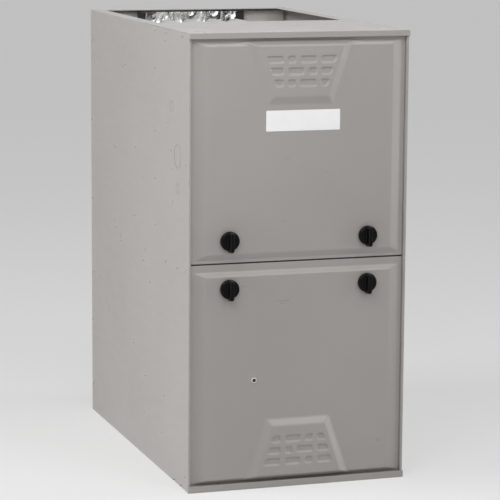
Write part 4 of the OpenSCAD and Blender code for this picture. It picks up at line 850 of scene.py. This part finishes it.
# Crinkles: long folds that are taller than wide, with finer creases between them
FOLD_TALL, FOLD_SLICE, FOLD_SHARP = 1.6, 3.7, 3
CREASE_FINER, CREASE_SHIFT = 2.3, Vector((9.1, 4.2, 0))
FOLD_SHARE, CREASE_SHARE = 0.62, 0.38


def crumple(x, z, size, depth):
    """Depth of a crinkled sheet at a place, between 0 and depth."""
    place = Vector((x / size, z / (size * FOLD_TALL), FOLD_SLICE))
    folds = 1 - abs(noise.noise(place))
    creases = abs(noise.noise(place * CREASE_FINER + CREASE_SHIFT))
    return depth * (FOLD_SHARE * folds ** FOLD_SHARP + CREASE_SHARE * creases)


def crumpled_sheet(name, material, across, up, front, depth, step, size):
    """A crinkled sheet on the casing that stands in front of a face looking towards -Y."""
    bm = bmesh.new()
    columns = max(2, round((across[1] - across[0]) / step))
    rows = round((up[1] - up[0]) / step)
    grid = []
    for r in range(rows + 1):
        z = up[0] + (up[1] - up[0]) * r / rows
        line = []
        for c in range(columns + 1):
            x = across[0] + (across[1] - across[0]) * c / columns
            line.append(bm.verts.new((x, front - crumple(x, z, size, depth), z)))
        grid.append(line)
    for low, high in zip(grid, grid[1:]):
        for c in range(columns):
            bm.faces.new((low[c], low[c + 1], high[c + 1], high[c]))
    piece = add_piece(name, mesh_of(bm, name), "casing", material)
    thicken(piece, "thickness", FOIL_T)


def dress_opening(facing, shadow_strip_finish, painted_light_paint):
    """Loose foil over the liner's tab, with black strips of painted shadow over both ends where the
    tab's edges lie in shade, between two pale sheets of painted light.
    """
    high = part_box("casing_insulation")[1]
    front = high.y - LINER_T - FACING_GAP
    up = (FACING_LOW, high.z)
    crumpled_sheet("foil_facing", facing, (-TAB_HALF, TAB_HALF), up, front,
                   FACING_DEPTH, FACING_STEP, FACING_FOLD)
    shadow_strip_front = front - FACING_DEPTH - SHADOW_STRIP_GAP
    for name, side in (("left", -1), ("right", 1)):
        # painted shadow: a black strip over each shaded edge of the tab
        ends = sorted((side * (TAB_HALF - SHADOW_STRIP_IN), side * (TAB_HALF + SHADOW_STRIP_OUT)))
        crumpled_sheet("painted_shadow_strip_" + name, shadow_strip_finish, ends, up, shadow_strip_front,
                       SHADOW_STRIP_DEPTH, SHADOW_STRIP_STEP, SHADOW_STRIP_FOLD)
        # painted light: a sheet of lightened cabinet paint where the back wall is shaded
        ends = sorted((side * (TAB_HALF + LIT_SHEET_GAP), side * (high.x - LIT_SHEET_GAP)))
        block("painted_light_sheet_" + name, "casing", painted_light_paint,
              Vector((ends[0], high.y - LIT_SHEET_FRONT, LINER_TOP)),
              Vector((ends[1], high.y - LIT_SHEET_BACK, high.z)))


# ---------- knobs ----------

# The disc's outline as (radius, y) from the lip plane, in millimetres
KNOB_DISC = [(0.02, -0.2), (18.6, -0.2), (19.0, -0.9), (19.0, -5.2), (18.5, -6.6), (17.2, -7.6),
             (14.5, -8.1), (0.02, -8.6)]
DISC_SEGMENTS = 72
WING_WIDTH, WING_LENGTH, WING_MIDDLE = 10.5 * MM, 35.0 * MM, -1.5 * MM
WING_FOOT, WING_FACE = -4 * MM, -21.6 * MM
WING_TAPER = 0.2
WING_SEGMENTS = 10
END_INSET, END_DRAFT = 0.3, 0.25    # of half its width: round ends' centres, at the foot and more
WING_STATIONS = [(0.0, 0.0), (0.5, 0.0), (0.86, 0.02), (0.95, 0.10), (1.0, 0.26)]   # share, nip
MELT_VOXEL = 0.5 * MM
RELAX_FACTOR, RELAX_STEPS = 0.5, 6
MERGE = 0.06 * MM


def wing(bm):
    """An upright bar with round ends, tapered and rounded off towards its outer face."""
    rings = []
    for share, nip in WING_STATIONS:
        half = WING_WIDTH / 2 * (1 - WING_TAPER * share - nip)
        reach = WING_LENGTH / 2 - WING_WIDTH / 2 * (END_INSET + share * END_DRAFT)
        y = WING_FOOT + (WING_FACE - WING_FOOT) * share
        ring = []
        for end in (1, -1):
            for i in range(WING_SEGMENTS + 1):
                a = math.pi * i / WING_SEGMENTS
                across, along = end * half * math.cos(a), end * (reach + half * math.sin(a))
                ring.append(bm.verts.new((across, y, WING_MIDDLE + along)))
        rings.append(ring)
    for lower, upper in zip(rings, rings[1:]):
        for i in range(len(lower)):
            k = (i + 1) % len(lower)
            bm.faces.new((lower[i], lower[k], upper[k], upper[i]))
    bm.faces.new(rings[0])
    bm.faces.new(rings[-1])


def disc(bm):
    """The disc's closed outline, turned about Y."""
    rings = []
    for i in range(DISC_SEGMENTS):
        a = 2 * math.pi * i / DISC_SEGMENTS
        rings.append([bm.verts.new((r * MM * math.cos(a), y * MM, r * MM * math.sin(a)))
                      for r, y in KNOB_DISC])
    for a, b in zip(rings, rings[1:] + rings[:1]):
        for k in range(len(KNOB_DISC)):
            n = (k + 1) % len(KNOB_DISC)
            bm.faces.new((a[k], a[n], b[n], b[k]))


def knob_mesh():
    """Disc and wing, melted into one moulding with fillets."""
    bm = bmesh.new()
    disc(bm)
    wing(bm)
    bmesh.ops.remove_doubles(bm, verts=bm.verts, dist=MERGE)
    bmesh.ops.recalc_face_normals(bm, faces=bm.faces)
    shape = bpy.data.objects.new("knob_shape", mesh_of(bm, "knob"))
    bpy.context.scene.collection.objects.link(shape)
    melt = shape.modifiers.new("melt", "REMESH")
    melt.mode = "VOXEL"
    melt.voxel_size = MELT_VOXEL
    relax = shape.modifiers.new("relax", "SMOOTH")
    relax.factor = RELAX_FACTOR
    relax.iterations = RELAX_STEPS
    graph = bpy.context.evaluated_depsgraph_get()
    result = bpy.data.meshes.new_from_object(shape.evaluated_get(graph))
    bpy.data.objects.remove(shape)
    result.polygons.foreach_set("use_smooth", [True] * len(result.polygons))
    return result


def make_knobs(finish):
    """The same moulding at each knob's place."""
    shape = knob_mesh()
    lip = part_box("upper_door_panel")[0].y + DOOR_FRONT * MM
    for row in ("upper", "lower"):
        for side in ("left", "right"):
            node = f"{row}_{side}_knob"
            low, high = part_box(node)
            mesh = shape.copy()
            mesh.transform(Matrix.Translation(((low.x + high.x) / 2, lip, (low.z + high.z) / 2)))
            add_piece(node + "_moulding", mesh, f"{row}_{side}_lock", finish[node], [node])


# ---------- scene ----------

bpy.context.scene.view_settings.view_transform = "Standard"
make_camera()
make_surroundings()
finish = make_finishes()
dress_nodes(finish)
door_skin("upper_door_panel", "upper_door", finish["upper_door_panel"])
door_skin("lower_door_panel", "lower_door", finish["lower_door_panel"])
make_knobs(finish)
dress_opening(crinkled_foil("crinkled_foil", shade(FOIL, 0.66)),
              # painted shadow: black strips over the tab's shaded edges
              rubber("painted_shadow_black", (0.012, 0.012, 0.013)),
              # painted light: the cabinet paint made 1.9 times lighter for the shaded back wall
              enamel("painted_light_enamel", shade(PAINT, 1.9)))
# painted shade: a black block in the gap between the doors
gap_shadow_block(rubber("painted_gap_shadow_black", (0.008, 0.008, 0.008)))
